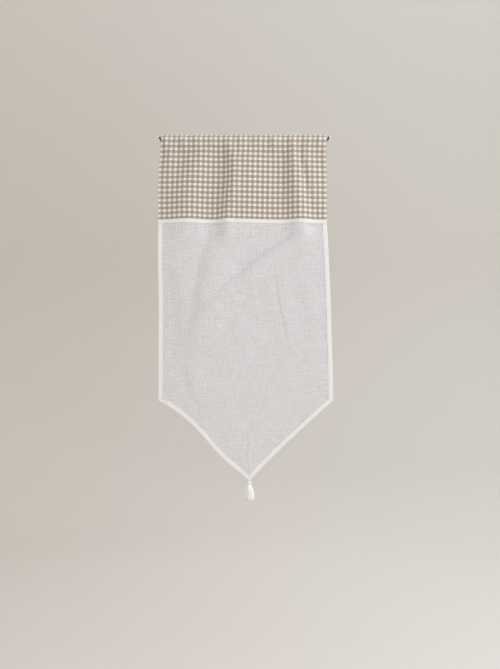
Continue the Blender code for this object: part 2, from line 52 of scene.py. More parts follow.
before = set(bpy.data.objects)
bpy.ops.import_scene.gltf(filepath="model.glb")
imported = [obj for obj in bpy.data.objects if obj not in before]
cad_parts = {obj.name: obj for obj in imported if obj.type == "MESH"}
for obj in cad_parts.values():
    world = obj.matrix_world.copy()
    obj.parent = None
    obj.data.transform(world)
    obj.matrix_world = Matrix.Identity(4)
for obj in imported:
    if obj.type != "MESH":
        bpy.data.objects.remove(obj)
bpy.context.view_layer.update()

MM = 0.001
TURN = 2.0 * math.pi

# Where the solid model puts the rod, the band and the tassel
ROD_LOW, ROD_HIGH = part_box("rod")
ROD_AXIS_Y = 0.5 * (ROD_LOW.y + ROD_HIGH.y)
ROD_RADIUS = 0.5 * (ROD_HIGH.z - ROD_LOW.z)
BAND_LOW, BAND_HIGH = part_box("join_band")
TASSEL_LOW, TASSEL_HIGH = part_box("tassel")

# Heights on the checked panel
HEADING_TOP = 9.2
HEADING_FOOT = 6.1
HEADING_FOLD_RADIUS = 0.6
POCKET_RADIUS = 4.9
POCKET_STITCH = -14.0
POCKET_HEM = -18.0
BELOW_ROD = -7.0
CHECKED_LOWER_EDGE = -293.0

# The join and the outline of the V
JOIN_TOP = -275.0
JOIN_FOOT = -297.0
SHEER_TOP = -284.0
CORNER_LEFT_X = -5.2
CORNER_RIGHT_X = 596.9
CORNER_Z = -908.0
TIP_X = 308.0
TIP_Z = -1186.0

# Depth of the cloth, measured forwards from the rod's axis
VALLEY_DEPTH = -7.0
FREE_BELOW = 3.0
FREE_RUN = 67.0
JOIN_FADE = 100.0
DRAG_ONSET = 40.0
LOWER_DEPTH = -1.0
SWAY_HEIGHT = 3.5
SWAY_LENGTH = 620.0
SWAY_PHASE = 0.8
BACK_PUCKER_SHARE = 0.5
BACK_PUCKER_SHIFT = 24.0
HEADING_LEAN = 0.3
SEAM_RISE = 0.12
SEAM_MEAN_DEPTH = 4.0
SEAM_REACH = 80.0

# Where small ripples run, and how the seams draw the cloth in
RIPPLES_TOP = -20.0
RIPPLES_RUN = 255.0
FALLING_REACH = 60.0
CHECKED_SEAM_RUN = 45.0
SHEER_SEAM_RUN = 60.0
SEAM_RIPPLE_MEAN = 0.6
SHEER_EDGE_CALM = 18.0
SHEER_EDGE_RISE = 60.0
SHEER_RIPPLES_RUN = 620.0
STITCH_DIP = 0.5
STITCH_DIP_WIDTH = 1.6

# Thickness of the cloths and how far apart their middles lie where they are sewn together
COTTON_THICKNESS = 0.5
SHEER_THICKNESS = 0.25
TAPE_THICKNESS = 0.5
LAYER_STEP = 0.62
TAPE_FOLD = 0.62
TAPE_STITCH_INSET = 2.4
BAND_STITCH_INSET = 2.2
MITRE_GAP = 0.08
SHEER_EDGE_INSET = 1.2

# Fineness of the meshes
CHECKED_GRID = (330, 92)
SHEER_GRID = (215, 200)
BAND_COLUMNS = 360
SIDE_STATIONS = 200
SLANT_STATIONS = 150
TURNED_SIDES = 48

# Parts of a bracket, as in the solid model
PLATE_THICKNESS = 1.6
ARM_THICKNESS = 3.2
LIP_HEIGHT = 2.0
ROD_CLEARANCE = 0.3

Outline = namedtuple("Outline", "z left right")
OUTLINE = (
    Outline(9.7, 5.2, 575.4),
    Outline(-18.0, 3.1, 573.2),
    Outline(-59.0, -1.0, 573.2),
    Outline(-115.0, -5.2, 574.6),
    Outline(-170.0, -7.0, 575.8),
    Outline(-225.0, -7.5, 575.9),
    Outline(-275.0, -7.4, 575.9),
    Outline(-300.0, -7.5, 576.2),
    Outline(-335.0, -7.9, 578.2),
    Outline(-391.0, -7.4, 580.5),
    Outline(-460.0, -6.6, 583.2),
    Outline(-529.0, -5.5, 586.3),
    Outline(-615.0, -4.6, 589.3),
    Outline(-701.0, -5.4, 591.8),
    Outline(-777.0, -5.6, 594.3),
    Outline(-822.0, -5.0, 595.3),
    Outline(-887.0, -6.0, 595.8),
    Outline(-908.0, -5.2, 596.9),
)

# How far each slanted edge bows up from a straight line, from the corner to the tip
Bow = namedtuple("Bow", "share rise")
BOW_LEFT = (
    Bow(0.0, 0.0),
    Bow(0.04, 3.8),
    Bow(0.12, 12.2),
    Bow(0.2, 16.9),
    Bow(0.28, 19.3),
    Bow(0.36, 20.2),
    Bow(0.44, 17.4),
    Bow(0.5, 13.6),
    Bow(0.6, 3.8),
    Bow(0.7, -1.2),
    Bow(0.8, -1.7),
    Bow(0.9, 0.6),
    Bow(1.0, 0.0),
)
BOW_RIGHT = (
    Bow(0.0, 0.0),
    Bow(0.1, 2.8),
    Bow(0.3, 5.2),
    Bow(0.5, 7.6),
    Bow(0.7, 7.4),
    Bow(0.9, 3.8),
    Bow(1.0, 0.0),
)

# Folds of the checked panel: the crest's place and height at three levels below the rod,
# and the widths of its steep left side and its gentle right side at the first and the last
FOLD_LEVELS = (20.0, 110.0, 275.0)
Fold = namedtuple("Fold", "x_top x_mid x_low top mid low left_top left_low right_top right_low")
FOLDS = (
    Fold(34.0, 30.0, 20.0, 7.0, 3.0, 0.0, 24.0, 24.0, 34.0, 34.0),
    Fold(156.0, 118.0, 92.0, 9.0, 14.0, 16.0, 60.0, 96.0, 52.0, 84.0),
    Fold(272.0, 270.0, 242.0, 12.0, 18.0, 15.0, 52.0, 50.0, 150.0, 170.0),
    Fold(236.0, 245.0, 220.0, 6.0, 7.0, 7.0, 26.0, 34.0, 34.0, 50.0),
    Fold(460.0, 463.0, 484.0, 11.0, 16.0, 15.0, 28.0, 60.0, 28.0, 60.0),
    Fold(490.0, 512.0, 540.0, 8.0, 7.5, 0.0, 22.0, 30.0, 60.0, 40.0),
)

# Small puckers where the cloth is gathered on the rod
Pucker = namedtuple("Pucker", "x height left right")
PUCKERS = (
    Pucker(20.0, 4.0, 15.0, 24.0),
    Pucker(75.0, 4.0, 16.0, 26.0),
    Pucker(128.0, 3.0, 16.0, 24.0),
    Pucker(178.0, 4.0, 15.0, 22.0),
    Pucker(230.0, 4.5, 16.0, 22.0),
    Pucker(280.0, 4.0, 16.0, 28.0),
    Pucker(336.0, 3.0, 18.0, 26.0),
    Pucker(392.0, 3.5, 18.0, 26.0),
    Pucker(452.0, 4.5, 16.0, 22.0),
    Pucker(505.0, 3.5, 18.0, 26.0),
    Pucker(548.0, 2.5, 16.0, 22.0),
)

# Soft folds that cross the sheer panel: the top, middle and foot of each crest line, its
# height and side widths. Some crest lines start above the join
Drag = namedtuple("Drag", "x_top z_top x_mid x_low z_low height left right")
DRAGS = (
    Drag(690.0, -200.0, 366.0, 120.0, -630.0, 13.0, 42.0, 100.0),
    Drag(236.0, -230.0, 166.0, 132.0, -760.0, 12.0, 54.0, 110.0),
    Drag(396.0, -420.0, 424.0, 462.0, -760.0, 2.6, 14.0, 60.0),
    Drag(48.0, -300.0, 80.0, 96.0, -760.0, 5.0, 50.0, 90.0),
    Drag(120.0, -700.0, 110.0, 150.0, -930.0, 3.0, 36.0, 60.0),
    Drag(306.0, -940.0, 306.5, 307.5, -1215.0, 1.3, 5.0, 5.0),
    Drag(8.0, -880.0, 20.0, 40.0, -935.0, 1.6, 7.0, 12.0),
)

# Skirt of the tassel, by ring from the outside in
StrandRing = namedtuple("StrandRing", "count root shoulder foot length")
STRAND_RINGS = (
    StrandRing(74, 3.9, 8.6, 16.9, 1.0),
    StrandRing(60, 3.2, 7.0, 13.9, 0.99),
    StrandRing(48, 2.5, 5.4, 10.8, 0.98),
    StrandRing(34, 1.8, 3.8, 7.6, 0.98),
    StrandRing(20, 1.0, 2.1, 4.3, 0.97),
    StrandRing(6, 0.4, 0.8, 1.4, 0.96),
)
SKIRT_FLATNESS = 0.72

# Square lamps of the studio, in metres and watts
Lamp = namedtuple("Lamp", "name place size power")
LAMPS = (
    Lamp("key", (3.3, -1.36, 0.1), 1.1, 45.5),
    Lamp("fill", (-2.2, -2.2, 0.4), 2.4, 9.0),
    Lamp("low", (0.3, -3.2, -1.75), 2.0, 22.0),
    Lamp("back", (0.9, 2.6, 0.3), 2.2, 9.0),
)


def smooth_step(value):
    """Rise from 0 to 1 along a cubic as the value goes from 0 to 1."""
    share = np.clip(value, 0.0, 1.0)
    return share * share * (3.0 - 2.0 * share)


def bump(distance, left, right):
    """Half a cosine wave up to a crest of 1 and half a wave down, each with its own width."""
    width = np.where(distance < 0.0, left, right)
    return 0.5 + 0.5 * np.cos(np.pi * np.clip(np.abs(distance) / width, 0.0, 1.0))


def curve_through(at, places, values):
    """A cubic between each two rows of a table, which takes the slope of their neighbours."""
    places = np.asarray(places, dtype=float)
    values = np.asarray(values, dtype=float)
    slopes = np.gradient(values, places)
    low = np.clip(np.searchsorted(places, at) - 1, 0, len(places) - 2)
    width = places[low + 1] - places[low]
    t = np.clip((at - places[low]) / width, 0.0, 1.0)
    rise = (1.0 + 2.0 * t) * (1.0 - t) ** 2 * values[low]
    rise = rise + t * t * (3.0 - 2.0 * t) * values[low + 1]
    lean = t * (1.0 - t) ** 2 * slopes[low] - t * t * (1.0 - t) * slopes[low + 1]
    return rise + lean * width


def column(rows, name):
    """One named column of a table."""
    return [getattr(row, name) for row in rows]


def ripples(seed, count, low, high, height, width):
    """A hand of small random ridges along X: their places, heights and half widths."""
    draw = np.random.default_rng(seed)
    places = draw.uniform(low, high, count)
    heights = draw.uniform(0.3, 1.0, count) * height
    widths = draw.uniform(0.6, 1.4, count) * width
    return places, heights, widths


def ripple_sum(x, ridges):
    """Sum of bell curves, one for each small ridge."""
    total = np.zeros(np.shape(x))
    for place, height, width in zip(*ridges):
        total += height * np.exp(-(((x - place) / width) ** 2))
    return total


GATHER_RIPPLES = ripples(11, 46, 0.0, 580.0, 1.5, 6.0)
BACK_RIPPLES = ripples(12, 40, 0.0, 580.0, 1.2, 7.0)
FALLING_RIPPLES = ripples(16, 34, 0.0, 580.0, 1.9, 8.0)
PANEL_RIPPLES = ripples(13, 26, -5.0, 580.0, 1.0, 15.0)
SEAM_RIPPLES = ripples(14, 60, 0.0, 580.0, 0.7, 6.0)
SHEER_RIPPLES = ripples(15, 30, 0.0, 590.0, 0.7, 22.0)


def edges_at(z):
    """Left and right edge of the cloth at a height, in millimetres."""
    depths = [-z_row for z_row in column(OUTLINE, "z")]
    left = curve_through(-z, depths, column(OUTLINE, "left"))
    right = curve_through(-z, depths, column(OUTLINE, "right"))
    return left, right


def slant_height(x, corner_x, bows):
    """Height of one slanted edge's outer line: a straight run with its bow."""
    share = (x - corner_x) / (TIP_X - corner_x)
    bow = curve_through(share, column(bows, "share"), column(bows, "rise"))
    return CORNER_Z + (TIP_Z - CORNER_Z) * share + bow


def hem_height(x, inset, corner_x, bows):
    """Height of a slanted edge at a distance in from its outer line."""
    reach = 7.0
    inner = slant_height(x + reach, corner_x, bows)
    slope = (inner - slant_height(x - reach, corner_x, bows)) / (2.0 * reach)
    return slant_height(x, corner_x, bows) + inset * np.sqrt(1.0 + slope * slope)


def hem_at(x, inset):
    """Height of the V at a distance in from its outer line, on whichever side of the tip."""
    left = hem_height(x, inset, CORNER_LEFT_X, BOW_LEFT)
    right = hem_height(x, inset, CORNER_RIGHT_X, BOW_RIGHT)
    return np.where(x < TIP_X, left, right)


def pucker_at(x):
    """How far the gathered cloth stands off the rod at the front."""
    coarse = sum(p.height * bump(x - p.x, p.left, p.right) for p in PUCKERS)
    return coarse + ripple_sum(x, GATHER_RIPPLES)


def back_pucker_at(x):
    """How far the gathered cloth stands off the rod at the back."""
    coarse = sum(p.height * bump(x + BACK_PUCKER_SHIFT - p.x, p.left, p.right) for p in PUCKERS)
    return BACK_PUCKER_SHARE * coarse + ripple_sum(x, BACK_RIPPLES)


def checked_depth(x, z):
    """Depth of the checked panel's free folds: a sum of ridges whose crests wander with height."""
    down = -z
    depth = np.full(np.broadcast(x, z).shape, VALLEY_DEPTH)
    for fold in FOLDS:
        crest = curve_through(down, FOLD_LEVELS, (fold.x_top, fold.x_mid, fold.x_low))
        height = curve_through(down, FOLD_LEVELS, (fold.top, fold.mid, fold.low))
        left = np.interp(down, FOLD_LEVELS[::2], (fold.left_top, fold.left_low))
        right = np.interp(down, FOLD_LEVELS[::2], (fold.right_top, fold.right_low))
        depth = depth + height * bump(x - crest, left, right)
    return depth


def front_depth(x, z):
    """Depth of the front layer: off the rod in its pocket, in free folds below it.

    Small ripples run down from the gathers and up from the seam, and fade between them.
    """
    gathered = POCKET_RADIUS + pucker_at(x)
    free = smooth_step((-z - FREE_BELOW) / FREE_RUN)
    depth = gathered * (1.0 - free) + checked_depth(x, z) * free
    middle = np.sin(np.pi * np.clip((RIPPLES_TOP - z) / RIPPLES_RUN, 0.0, 1.0))
    depth = depth + middle * ripple_sum(x + 0.12 * z, PANEL_RIPPLES)
    falling = free * np.exp(-np.maximum(RIPPLES_TOP - z, 0.0) / FALLING_REACH)
    depth = depth + falling * ripple_sum(x + 0.1 * z, FALLING_RIPPLES)
    seam = np.clip(1.0 - (z - CHECKED_LOWER_EDGE) / CHECKED_SEAM_RUN, 0.0, 1.0) ** 2
    stitched = np.exp(-(((z - POCKET_STITCH) / STITCH_DIP_WIDTH) ** 2))
    return depth + seam * (ripple_sum(x, SEAM_RIPPLES) - SEAM_RIPPLE_MEAN) - STITCH_DIP * stitched


def back_depth(x, z):
    """Depth of the back layer, from behind the rod to the pocket's stitch line."""
    behind = -POCKET_RADIUS - back_pucker_at(x)
    stitched = smooth_step((-z - FREE_BELOW) / (-POCKET_STITCH - FREE_BELOW))
    touching = front_depth(x, z) - 0.9
    return behind * (1.0 - stitched) + touching * stitched


def join_depth(x):
    """Depth of the checked panel where it is sewn to the sheer one."""
    return front_depth(x, np.full(np.shape(x), CHECKED_LOWER_EDGE))


def sheer_depth(x, z):
    """Depth of the sheer panel: the join's folds die away into soft drag folds and slack."""
    below = smooth_step((JOIN_FOOT - z) / JOIN_FADE)
    sway = LOWER_DEPTH + SWAY_HEIGHT * np.sin(TURN * x / SWAY_LENGTH + SWAY_PHASE)
    seam = np.clip(1.0 - (JOIN_FOOT - z) / SHEER_SEAM_RUN, 0.0, 1.0) ** 2
    depth = (checked_depth(x, np.full(np.shape(x), JOIN_TOP)) - LAYER_STEP) * (1.0 - below)
    depth = depth + sway * below + seam * (ripple_sum(x, SEAM_RIPPLES) - SEAM_RIPPLE_MEAN)
    onset = smooth_step((JOIN_FOOT - z) / DRAG_ONSET)
    for drag in DRAGS:
        share = np.clip((z - drag.z_top) / (drag.z_low - drag.z_top), 0.0, 1.0)
        crest = curve_through(share, (0.0, 0.5, 1.0), (drag.x_top, drag.x_mid, drag.x_low))
        strength = onset * np.sin(np.pi * share) ** 0.7
        depth = depth + drag.height * strength * bump(x - crest, drag.left, drag.right)
    left, right = edges_at(z)
    from_left = smooth_step((x - left - SHEER_EDGE_CALM) / SHEER_EDGE_RISE)
    from_right = smooth_step((right - x - SHEER_EDGE_CALM) / SHEER_EDGE_RISE)
    hang = np.sin(np.pi * np.clip((JOIN_FOOT - z) / SHEER_RIPPLES_RUN, 0.0, 1.0))
    return depth + from_left * from_right * hang * ripple_sum(x + 0.25 * z + 90.0, SHEER_RIPPLES)


def seam_lift(x, z):
    """How far the join is drawn up on the folds that come forward, and let down between them."""
    forward = checked_depth(x, np.full(np.shape(x), JOIN_TOP)) - SEAM_MEAN_DEPTH
    near = np.exp(-(((z - JOIN_TOP) / SEAM_REACH) ** 2))
    return SEAM_RISE * forward * near


def in_place(x, depth, z):
    """Points in metres from a depth forwards of the rod's axis."""
    y = ROD_AXIS_Y / MM - depth
    return np.stack(np.broadcast_arrays(x, y, z + seam_lift(x, z)), axis=-1) * MM


def grid_faces(rows, columns, around=False):
    """Quads over a grid of points, closed round its columns if asked."""
    first = np.arange(rows * columns).reshape(rows, columns)
    if around:
        first = np.concatenate([first, first[:, :1]], axis=1)
    quads = np.stack([first[:-1, :-1], first[1:, :-1], first[1:, 1:], first[:-1, 1:]], axis=-1)
    return quads.reshape(-1, 4)


def add_piece(name, points, faces, material, uv=None, body="root"):
    """A mesh object from whole arrays, smooth, with an optional map of metres on the cloth."""
    mesh = bpy.data.meshes.new(name)
    mesh.from_pydata(np.asarray(points).reshape(-1, 3).tolist(), [], [list(f) for f in faces])
    mesh.shade_smooth()
    if uv is not None:
        corners = np.empty(len(mesh.loops), np.int32)
        mesh.loops.foreach_get("vertex_index", corners)
        layer = mesh.uv_layers.new(name="Cloth")
        layer.data.foreach_set("uv", np.asarray(uv).reshape(-1, 2)[corners].ravel())
    mesh.materials.append(material)
    piece = bpy.data.objects.new(name, mesh)
    bpy.context.scene.collection.objects.link(piece)
    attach(piece, body)
    return piece


def point_outwards(piece):
    """Turn the faces of a closed mesh to its outside."""
    work = bmesh.new()
    work.from_mesh(piece.data)
    bmesh.ops.recalc_face_normals(work, faces=work.faces)
    work.to_mesh(piece.data)
    work.free()


def thicken(piece, thickness):
    """Give a sheet its thickness, evenly to both sides."""
    wall = piece.modifiers.new("Thickness", "SOLIDIFY")
    wall.thickness = thickness * MM
    wall.offset = 0.0


def shell_between(outer, inner, uv):
    """Points, faces and map of a closed shell between two grids of the same size."""
    rows, columns = outer.shape[:2]
    quads = grid_faces(rows, columns)
    first = np.arange(rows * columns).reshape(rows, columns)
    rim = np.concatenate([first[0, :], first[1:, -1], first[-1, -2::-1], first[-2:0:-1, 0]])
    after = np.roll(rim, -1)
    walls = np.stack([rim, after, after + first.size, rim + first.size], axis=-1)
    points = np.concatenate([outer.reshape(-1, 3), inner.reshape(-1, 3)])
    faces = np.concatenate([quads, quads[:, ::-1] + first.size, walls])
    return points, faces, np.concatenate([uv.reshape(-1, 2)] * 2)


def tube_grid(path, radius, sides):
    """Rings of a tube along a path: a circle in the plane across each point's direction."""
    along = np.gradient(path, axis=0)
    along /= np.linalg.norm(along, axis=-1, keepdims=True)
    side = np.cross(along, np.array((0.31, 0.17, 0.94)))
    side /= np.linalg.norm(side, axis=-1, keepdims=True)
    up = np.cross(side, along)
    turn = np.linspace(0.0, TURN, sides, endpoint=False)
    ring = np.cos(turn)[None, :, None] * side[:, None] + np.sin(turn)[None, :, None] * up[:, None]
    return path[:, None] + ring * np.reshape(radius, (-1, 1, 1))


class Term:
    """One value of a material's maths, so that + - * on it add Math nodes."""

    def __init__(self, graph, socket):
        self.graph = graph
        self.socket = socket

    def math(self, operation, *others):
        """A Math node on this value and the others."""
        values = {k: value for k, value in enumerate((self, *others))}
        return self.graph.node("ShaderNodeMath", {"operation": operation}, values)

    def __add__(self, other):
        return self.math("ADD", other)

    def __sub__(self, other):
        return self.math("SUBTRACT", other)

    def __mul__(self, other):
        return self.math("MULTIPLY", other)

    def __rsub__(self, other):
        return self.graph.node("ShaderNodeMath", {"operation": "SUBTRACT"}, {0: other, 1: self})

    __radd__ = __add__
    __rmul__ = __mul__

    def step(self, low, high):
        """Smooth rise from 0 to 1 as the value goes from low to high."""
        inputs = {"Value": self, "From Min": low, "From Max": high}
        return self.graph.node("ShaderNodeMapRange", {"interpolation_type": "SMOOTHSTEP"}, inputs)


class Finish:
    """A material and the few kinds of node that the finishes are made from."""

    def __init__(self, name, roughness, metallic=0.0, sheen=0.0):
        self.material = bpy.data.materials.new(name + "_finish")
        self.material.use_nodes = True
        self.tree = self.material.node_tree
        self.shader = self.tree.nodes["Principled BSDF"]
        self.shader.inputs["Roughness"].default_value = roughness
        self.shader.inputs["Metallic"].default_value = metallic
        self.shader.inputs["Sheen Weight"].default_value = sheen

    def node(self, kind, settings, inputs, output=0):
        """Any node: its type, its settings, and the values or links of its sockets."""
        made = self.tree.nodes.new(kind)
        for setting, value in settings.items():
            setattr(made, setting, value)
        for socket, value in inputs.items():
            if isinstance(value, Term):
                self.tree.links.new(value.socket, made.inputs[socket])
            else:
                made.inputs[socket].default_value = value
        return Term(self, made.outputs[output])

    def feed(self, socket, term):
        """Link a term to one of the shader's sockets."""
        self.tree.links.new(term.socket, self.shader.inputs[socket])

    def cloth_map(self):
        """The piece's own map, in metres across and along the cloth."""
        return self.node("ShaderNodeUVMap", {"uv_map": "Cloth"}, {})

    def place(self):
        """The place of a point in the object, in metres."""
        return self.node("ShaderNodeTexCoord", {}, {}, "Object")

    def split(self, vector):
        """The first two parts of a vector."""
        return [self.node("ShaderNodeSeparateXYZ", {}, {0: vector}, k) for k in range(2)]

    def noise(self, vector, size, detail=2.0, roughness=0.5):
        """Noise whose grains have the given size in metres along each direction."""
        scale = tuple(1.0 / part for part in size)
        stretched = self.node("ShaderNodeVectorMath", {"operation": "MULTIPLY"}, {0: vector, 1: scale})
        inputs = {"Vector": stretched, "Scale": 1.0, "Detail": detail, "Roughness": roughness}
        return self.node("ShaderNodeTexNoise", {"noise_dimensions": "3D"}, inputs)

    def blend(self, share, first, second):
        """A colour between two colours."""
        inputs = {0: share, 6: first, 7: second}
        return self.node("ShaderNodeMix", {"data_type": "RGBA"}, inputs, 2)

    def tint(self, colour, share, shade):
        """A colour multiplied by a grey shade, as strongly as the share says."""
        settings = {"data_type": "RGBA", "blend_type": "MULTIPLY"}
        inputs = {0: share, 6: colour, 7: (shade, shade, shade, 1.0)}
        return self.node("ShaderNodeMix", settings, inputs, 2)

    def relief(self, height, distance, strength=1.0):
        """Bump from a height, over a distance in metres."""
        inputs = {"Height": height, "Distance": distance, "Strength": strength}
        self.feed("Normal", self.node("ShaderNodeBump", {}, inputs))


def rgba(colour):
    """A colour with full opacity."""
    return (*colour, 1.0)


def threads(finish, cloth, width, length):
    """Uneven threads that run along the cloth and across it, each as a value near 0.5."""
    warp = finish.noise(cloth, (width, length, 1.0))
    weft = finish.noise(cloth, (length, width, 1.0))
    return warp, weft


def checked_cotton(sizes, colours):
    """Plain-woven checks: coloured and white threads in both directions, half and half.

    A stripe is where a cosine of the distance is below 0. One coloured direction gives the
    middle tone and two give the full colour, with single threads breaking up the tones.
    """
    finish = Finish("checked_cotton", 0.92, sheen=0.15)
    cloth = finish.cloth_map()
    warp, weft = threads(finish, cloth, 0.0007, 0.011)
    wander = finish.noise(cloth, (0.0012, 0.03, 1.0)) - 0.5
    across, along = finish.split(cloth)
    across = across + wander * 0.0009 - sizes.first_white_column
    along = along + wander * 0.0009 - sizes.first_white_row
    wave_across = (across * (TURN / sizes.column_pitch)).math("COSINE")
    wave_along = (along * (TURN / sizes.row_pitch)).math("COSINE")
    stripe_across = wave_across.step(0.24, -0.04)
    stripe_along = wave_along.step(0.24, -0.04)
    both = stripe_across * stripe_along
    single = stripe_across + stripe_along - both * 2.0
    tone = stripe_across * 0.63 + stripe_along * 0.72 - both * 0.35
    tone = tone + (warp - weft) * single * 0.6
    colour = finish.blend(tone, rgba(colours.cotton_white), rgba(colours.check_colour))
    slub_warp, slub_weft = threads(finish, cloth, 0.004, 0.05)
    slub = slub_warp * 0.5 + slub_weft * 0.5
    colour = finish.tint(colour, slub.step(0.42, 0.72) * 0.35, 0.86)
    gaps = (warp + weft).step(0.95, 0.55)
    finish.feed("Base Color", finish.tint(colour, gaps * 0.5, 0.8))
    finish.relief(warp + weft, 0.0004, 0.7)
    return finish.material


def sheer_linen(sizes, colours):
    """Open slubby weave: thick and thin threads both ways, more see-through where both are thin."""
    finish = Finish("sheer_linen", 0.9, sheen=0.1)
    cloth = finish.cloth_map()
    warp, weft = threads(finish, cloth, 0.0012, 0.02)
    slub_warp, slub_weft = threads(finish, cloth, 0.0036, 0.06)
    fine = warp * 0.5 + weft * 0.5
    slub = slub_warp * 0.5 + slub_weft * 0.5
    cloud = finish.noise(cloth, (0.09, 0.12, 1.0), 3.0)
    cover = fine * 1.0 + slub * 0.6 + cloud * 0.2 - 0.9
    alpha = cover + sizes.sheer_cover
    finish.feed("Alpha", alpha.math("MAXIMUM", 0.1).math("MINIMUM", 0.97))
    colour = finish.blend(slub.step(0.35, 0.65), rgba(colours.sheer_shade), rgba(colours.sheer_colour))
    finish.feed("Base Color", finish.tint(colour, fine.step(0.62, 0.38) * 0.6, 0.9))
    finish.relief(fine + slub * 0.6, 0.0004, 0.6)
    return finish.material


def white_tape(sizes, colours):
    """Close twill tape: fine ribs along its length and a faint unevenness of colour."""
    finish = Finish("white_tape", 0.88, sheen=0.12)
    cloth = finish.cloth_map()
    warp, weft = threads(finish, cloth, 0.0006, 0.012)
    cloud = finish.noise(cloth, (0.03, 0.03, 1.0), 3.0)
    colour = finish.tint(rgba(colours.tape_colour), cloud.step(0.45, 0.75) * 0.3, 0.93)
    colour = finish.tint(colour, (warp + weft).step(1.0, 0.7) * 0.5, 0.88)
    finish.feed("Base Color", colour)
    finish.relief(warp * 0.6 + weft, 0.0003, 0.6)
    return finish.material


def cotton_yarn(sizes, colours):
    """Twisted yarn: slanting plies on a map that runs round and along each strand, with painted shade in
    the grooves between the plies.
    """
    finish = Finish("cotton_yarn", 0.92, sheen=0.2)
    cloth = finish.cloth_map()
    around, along = finish.split(cloth)
    ply = ((around * 1.0 + along * 420.0) * TURN).math("SINE") * 0.5 + 0.5
    fuzz = finish.noise(finish.place(), (0.0008, 0.0008, 0.004))
    # Painted shade: the grooves between the plies are darkened
    colour = finish.tint(rgba(colours.yarn_colour), ply.step(0.5, 0.0) * 0.45, 0.94)
    finish.feed("Base Color", finish.tint(colour, fuzz.step(0.5, 0.75) * 0.4, 0.97))
    finish.relief(ply + fuzz * 0.5, 0.0003, 0.7)
    return finish.material


def sewing_thread(sizes, colours):
    """Fine glossy thread of the seams."""
    finish = Finish("sewing_thread", 0.6, sheen=0.1)
    fuzz = finish.noise(finish.place(), (0.0004, 0.0004, 0.0004))
    finish.feed("Base Color", finish.tint(rgba(colours.thread_colour), fuzz.step(0.4, 0.7) * 0.5, 0.85))
    return finish.material


def satin_nickel(sizes, colours):
    """Plated steel, drawn along the rod: long faint scratches in its roughness."""
    finish = Finish("satin_nickel", 0.32, metallic=1.0)
    place = finish.place()
    scratch = finish.noise(place, (0.05, 0.0003, 0.0003), 3.0)
    spots = finish.noise(place, (0.004, 0.004, 0.004), 3.0)
    finish.feed("Roughness", scratch * 0.25 + spots * 0.1 + 0.16)
    finish.feed("Base Color", finish.tint(rgba(colours.nickel_colour), spots.step(0.5, 0.8) * 0.4, 0.85))
    finish.relief(scratch, 0.00005, 0.4)
    return finish.material


def dark_steel(sizes, colours):
    """Dark bronze paint over steel, a little mottled."""
    finish = Finish("dark_steel", 0.45, metallic=0.6)
    place = finish.place()
    spots = finish.noise(place, (0.0012, 0.0012, 0.0012), 4.0, 0.6)
    cloud = finish.noise(place, (0.006, 0.006, 0.006), 2.0)
    finish.feed("Roughness", spots * 0.3 + 0.3)
    finish.feed("Base Color", finish.tint(rgba(colours.steel_colour), cloud.step(0.4, 0.7), 0.7))
    finish.relief(spots, 0.0001, 0.4)
    return finish.material


def studio_wall(sizes, colours):
    """Plain matt paint with painted light: a darker left side blends into a lighter right side, as if
    lit from the right.
    """
    finish = Finish("studio_wall", 0.95)
    across = finish.split(finish.place())[0]
    # Painted light: the wall's colour runs from painted shade on the left to a lit tone on the right
    painted_light_share = across.step(-2.4, 2.6)
    finish.feed("Base Color", finish.blend(painted_light_share, rgba(colours.wall_painted_shade), rgba(colours.wall_lit_colour)))
    return finish.material


MAKERS = {
    "checked_cotton": checked_cotton,
    "sheer_linen": sheer_linen,
    "white_tape": white_tape,
    "cotton_yarn": cotton_yarn,
    "sewing_thread": sewing_thread,
    "satin_nickel": satin_nickel,
    "dark_steel": dark_steel,
    "studio_wall": studio_wall,
}


def material_named(name):
    """The material of a finish, made the first time it is asked for."""
    made = bpy.data.materials.get(name + "_finish")
    if made is None:
        scene = bpy.context.scene
        made = MAKERS[name](scene.curtain_sizes, scene.curtain_colours)
    return made


def checked_surface(columns, front_rows):
    """The checked panel's middle surface: up the front, over the rod and down the back."""
    share = np.linspace(0.0, 1.0, columns)
    rows = []

    def across(z):
        left, right = edges_at(np.full(columns, float(z)))
        return left + share * (right - left)

    for z in np.linspace(CHECKED_LOWER_EDGE, 0.0, front_rows):
        x = across(z)
        rows.append(in_place(x, front_depth(x, np.full(columns, z)), z))
    x = across(0.0)
    front, back = pucker_at(x), back_pucker_at(x)
    lean = HEADING_LEAN * (front - back)
    fold_z = HEADING_TOP - HEADING_FOLD_RADIUS - 0.5 * COTTON_THICKNESS
    for degrees in (18, 36, 50, 62):
        turn = math.radians(degrees)
        reach = (POCKET_RADIUS + front * math.cos(turn)) * math.cos(turn)
        rows.append(in_place(x, reach, POCKET_RADIUS * math.sin(turn)))
    for z in (HEADING_FOOT, 0.5 * (HEADING_FOOT + fold_z)):
        rows.append(in_place(x, lean + HEADING_FOLD_RADIUS, z))
    for degrees in (0, 36, 72, 108, 144, 180):
        turn = math.radians(degrees)
        reach = lean + HEADING_FOLD_RADIUS * math.cos(turn)
        rows.append(in_place(x, reach, fold_z + HEADING_FOLD_RADIUS * math.sin(turn)))
    for z in (0.5 * (HEADING_FOOT + fold_z), HEADING_FOOT):
        rows.append(in_place(x, lean - HEADING_FOLD_RADIUS, z))
    for degrees in (62, 50, 36, 18):
        turn = math.radians(degrees)
        reach = (POCKET_RADIUS + back * math.cos(turn)) * math.cos(turn)
        rows.append(in_place(x, -reach, POCKET_RADIUS * math.sin(turn)))
    for z in (0.0, -3.5, BELOW_ROD, -10.5, POCKET_STITCH, POCKET_HEM):
        x = across(z)
        rows.append(in_place(x, back_depth(x, np.full(columns, z)), z))
    return np.array(rows)


def lengths_along(points, axis):
    """Distance along the grid from its first row or column."""
    steps = np.linalg.norm(np.diff(points, axis=axis), axis=-1)
    start = np.zeros_like(np.take(steps, [0], axis=axis))
    return np.concatenate([start, np.cumsum(steps, axis=axis)], axis=axis)


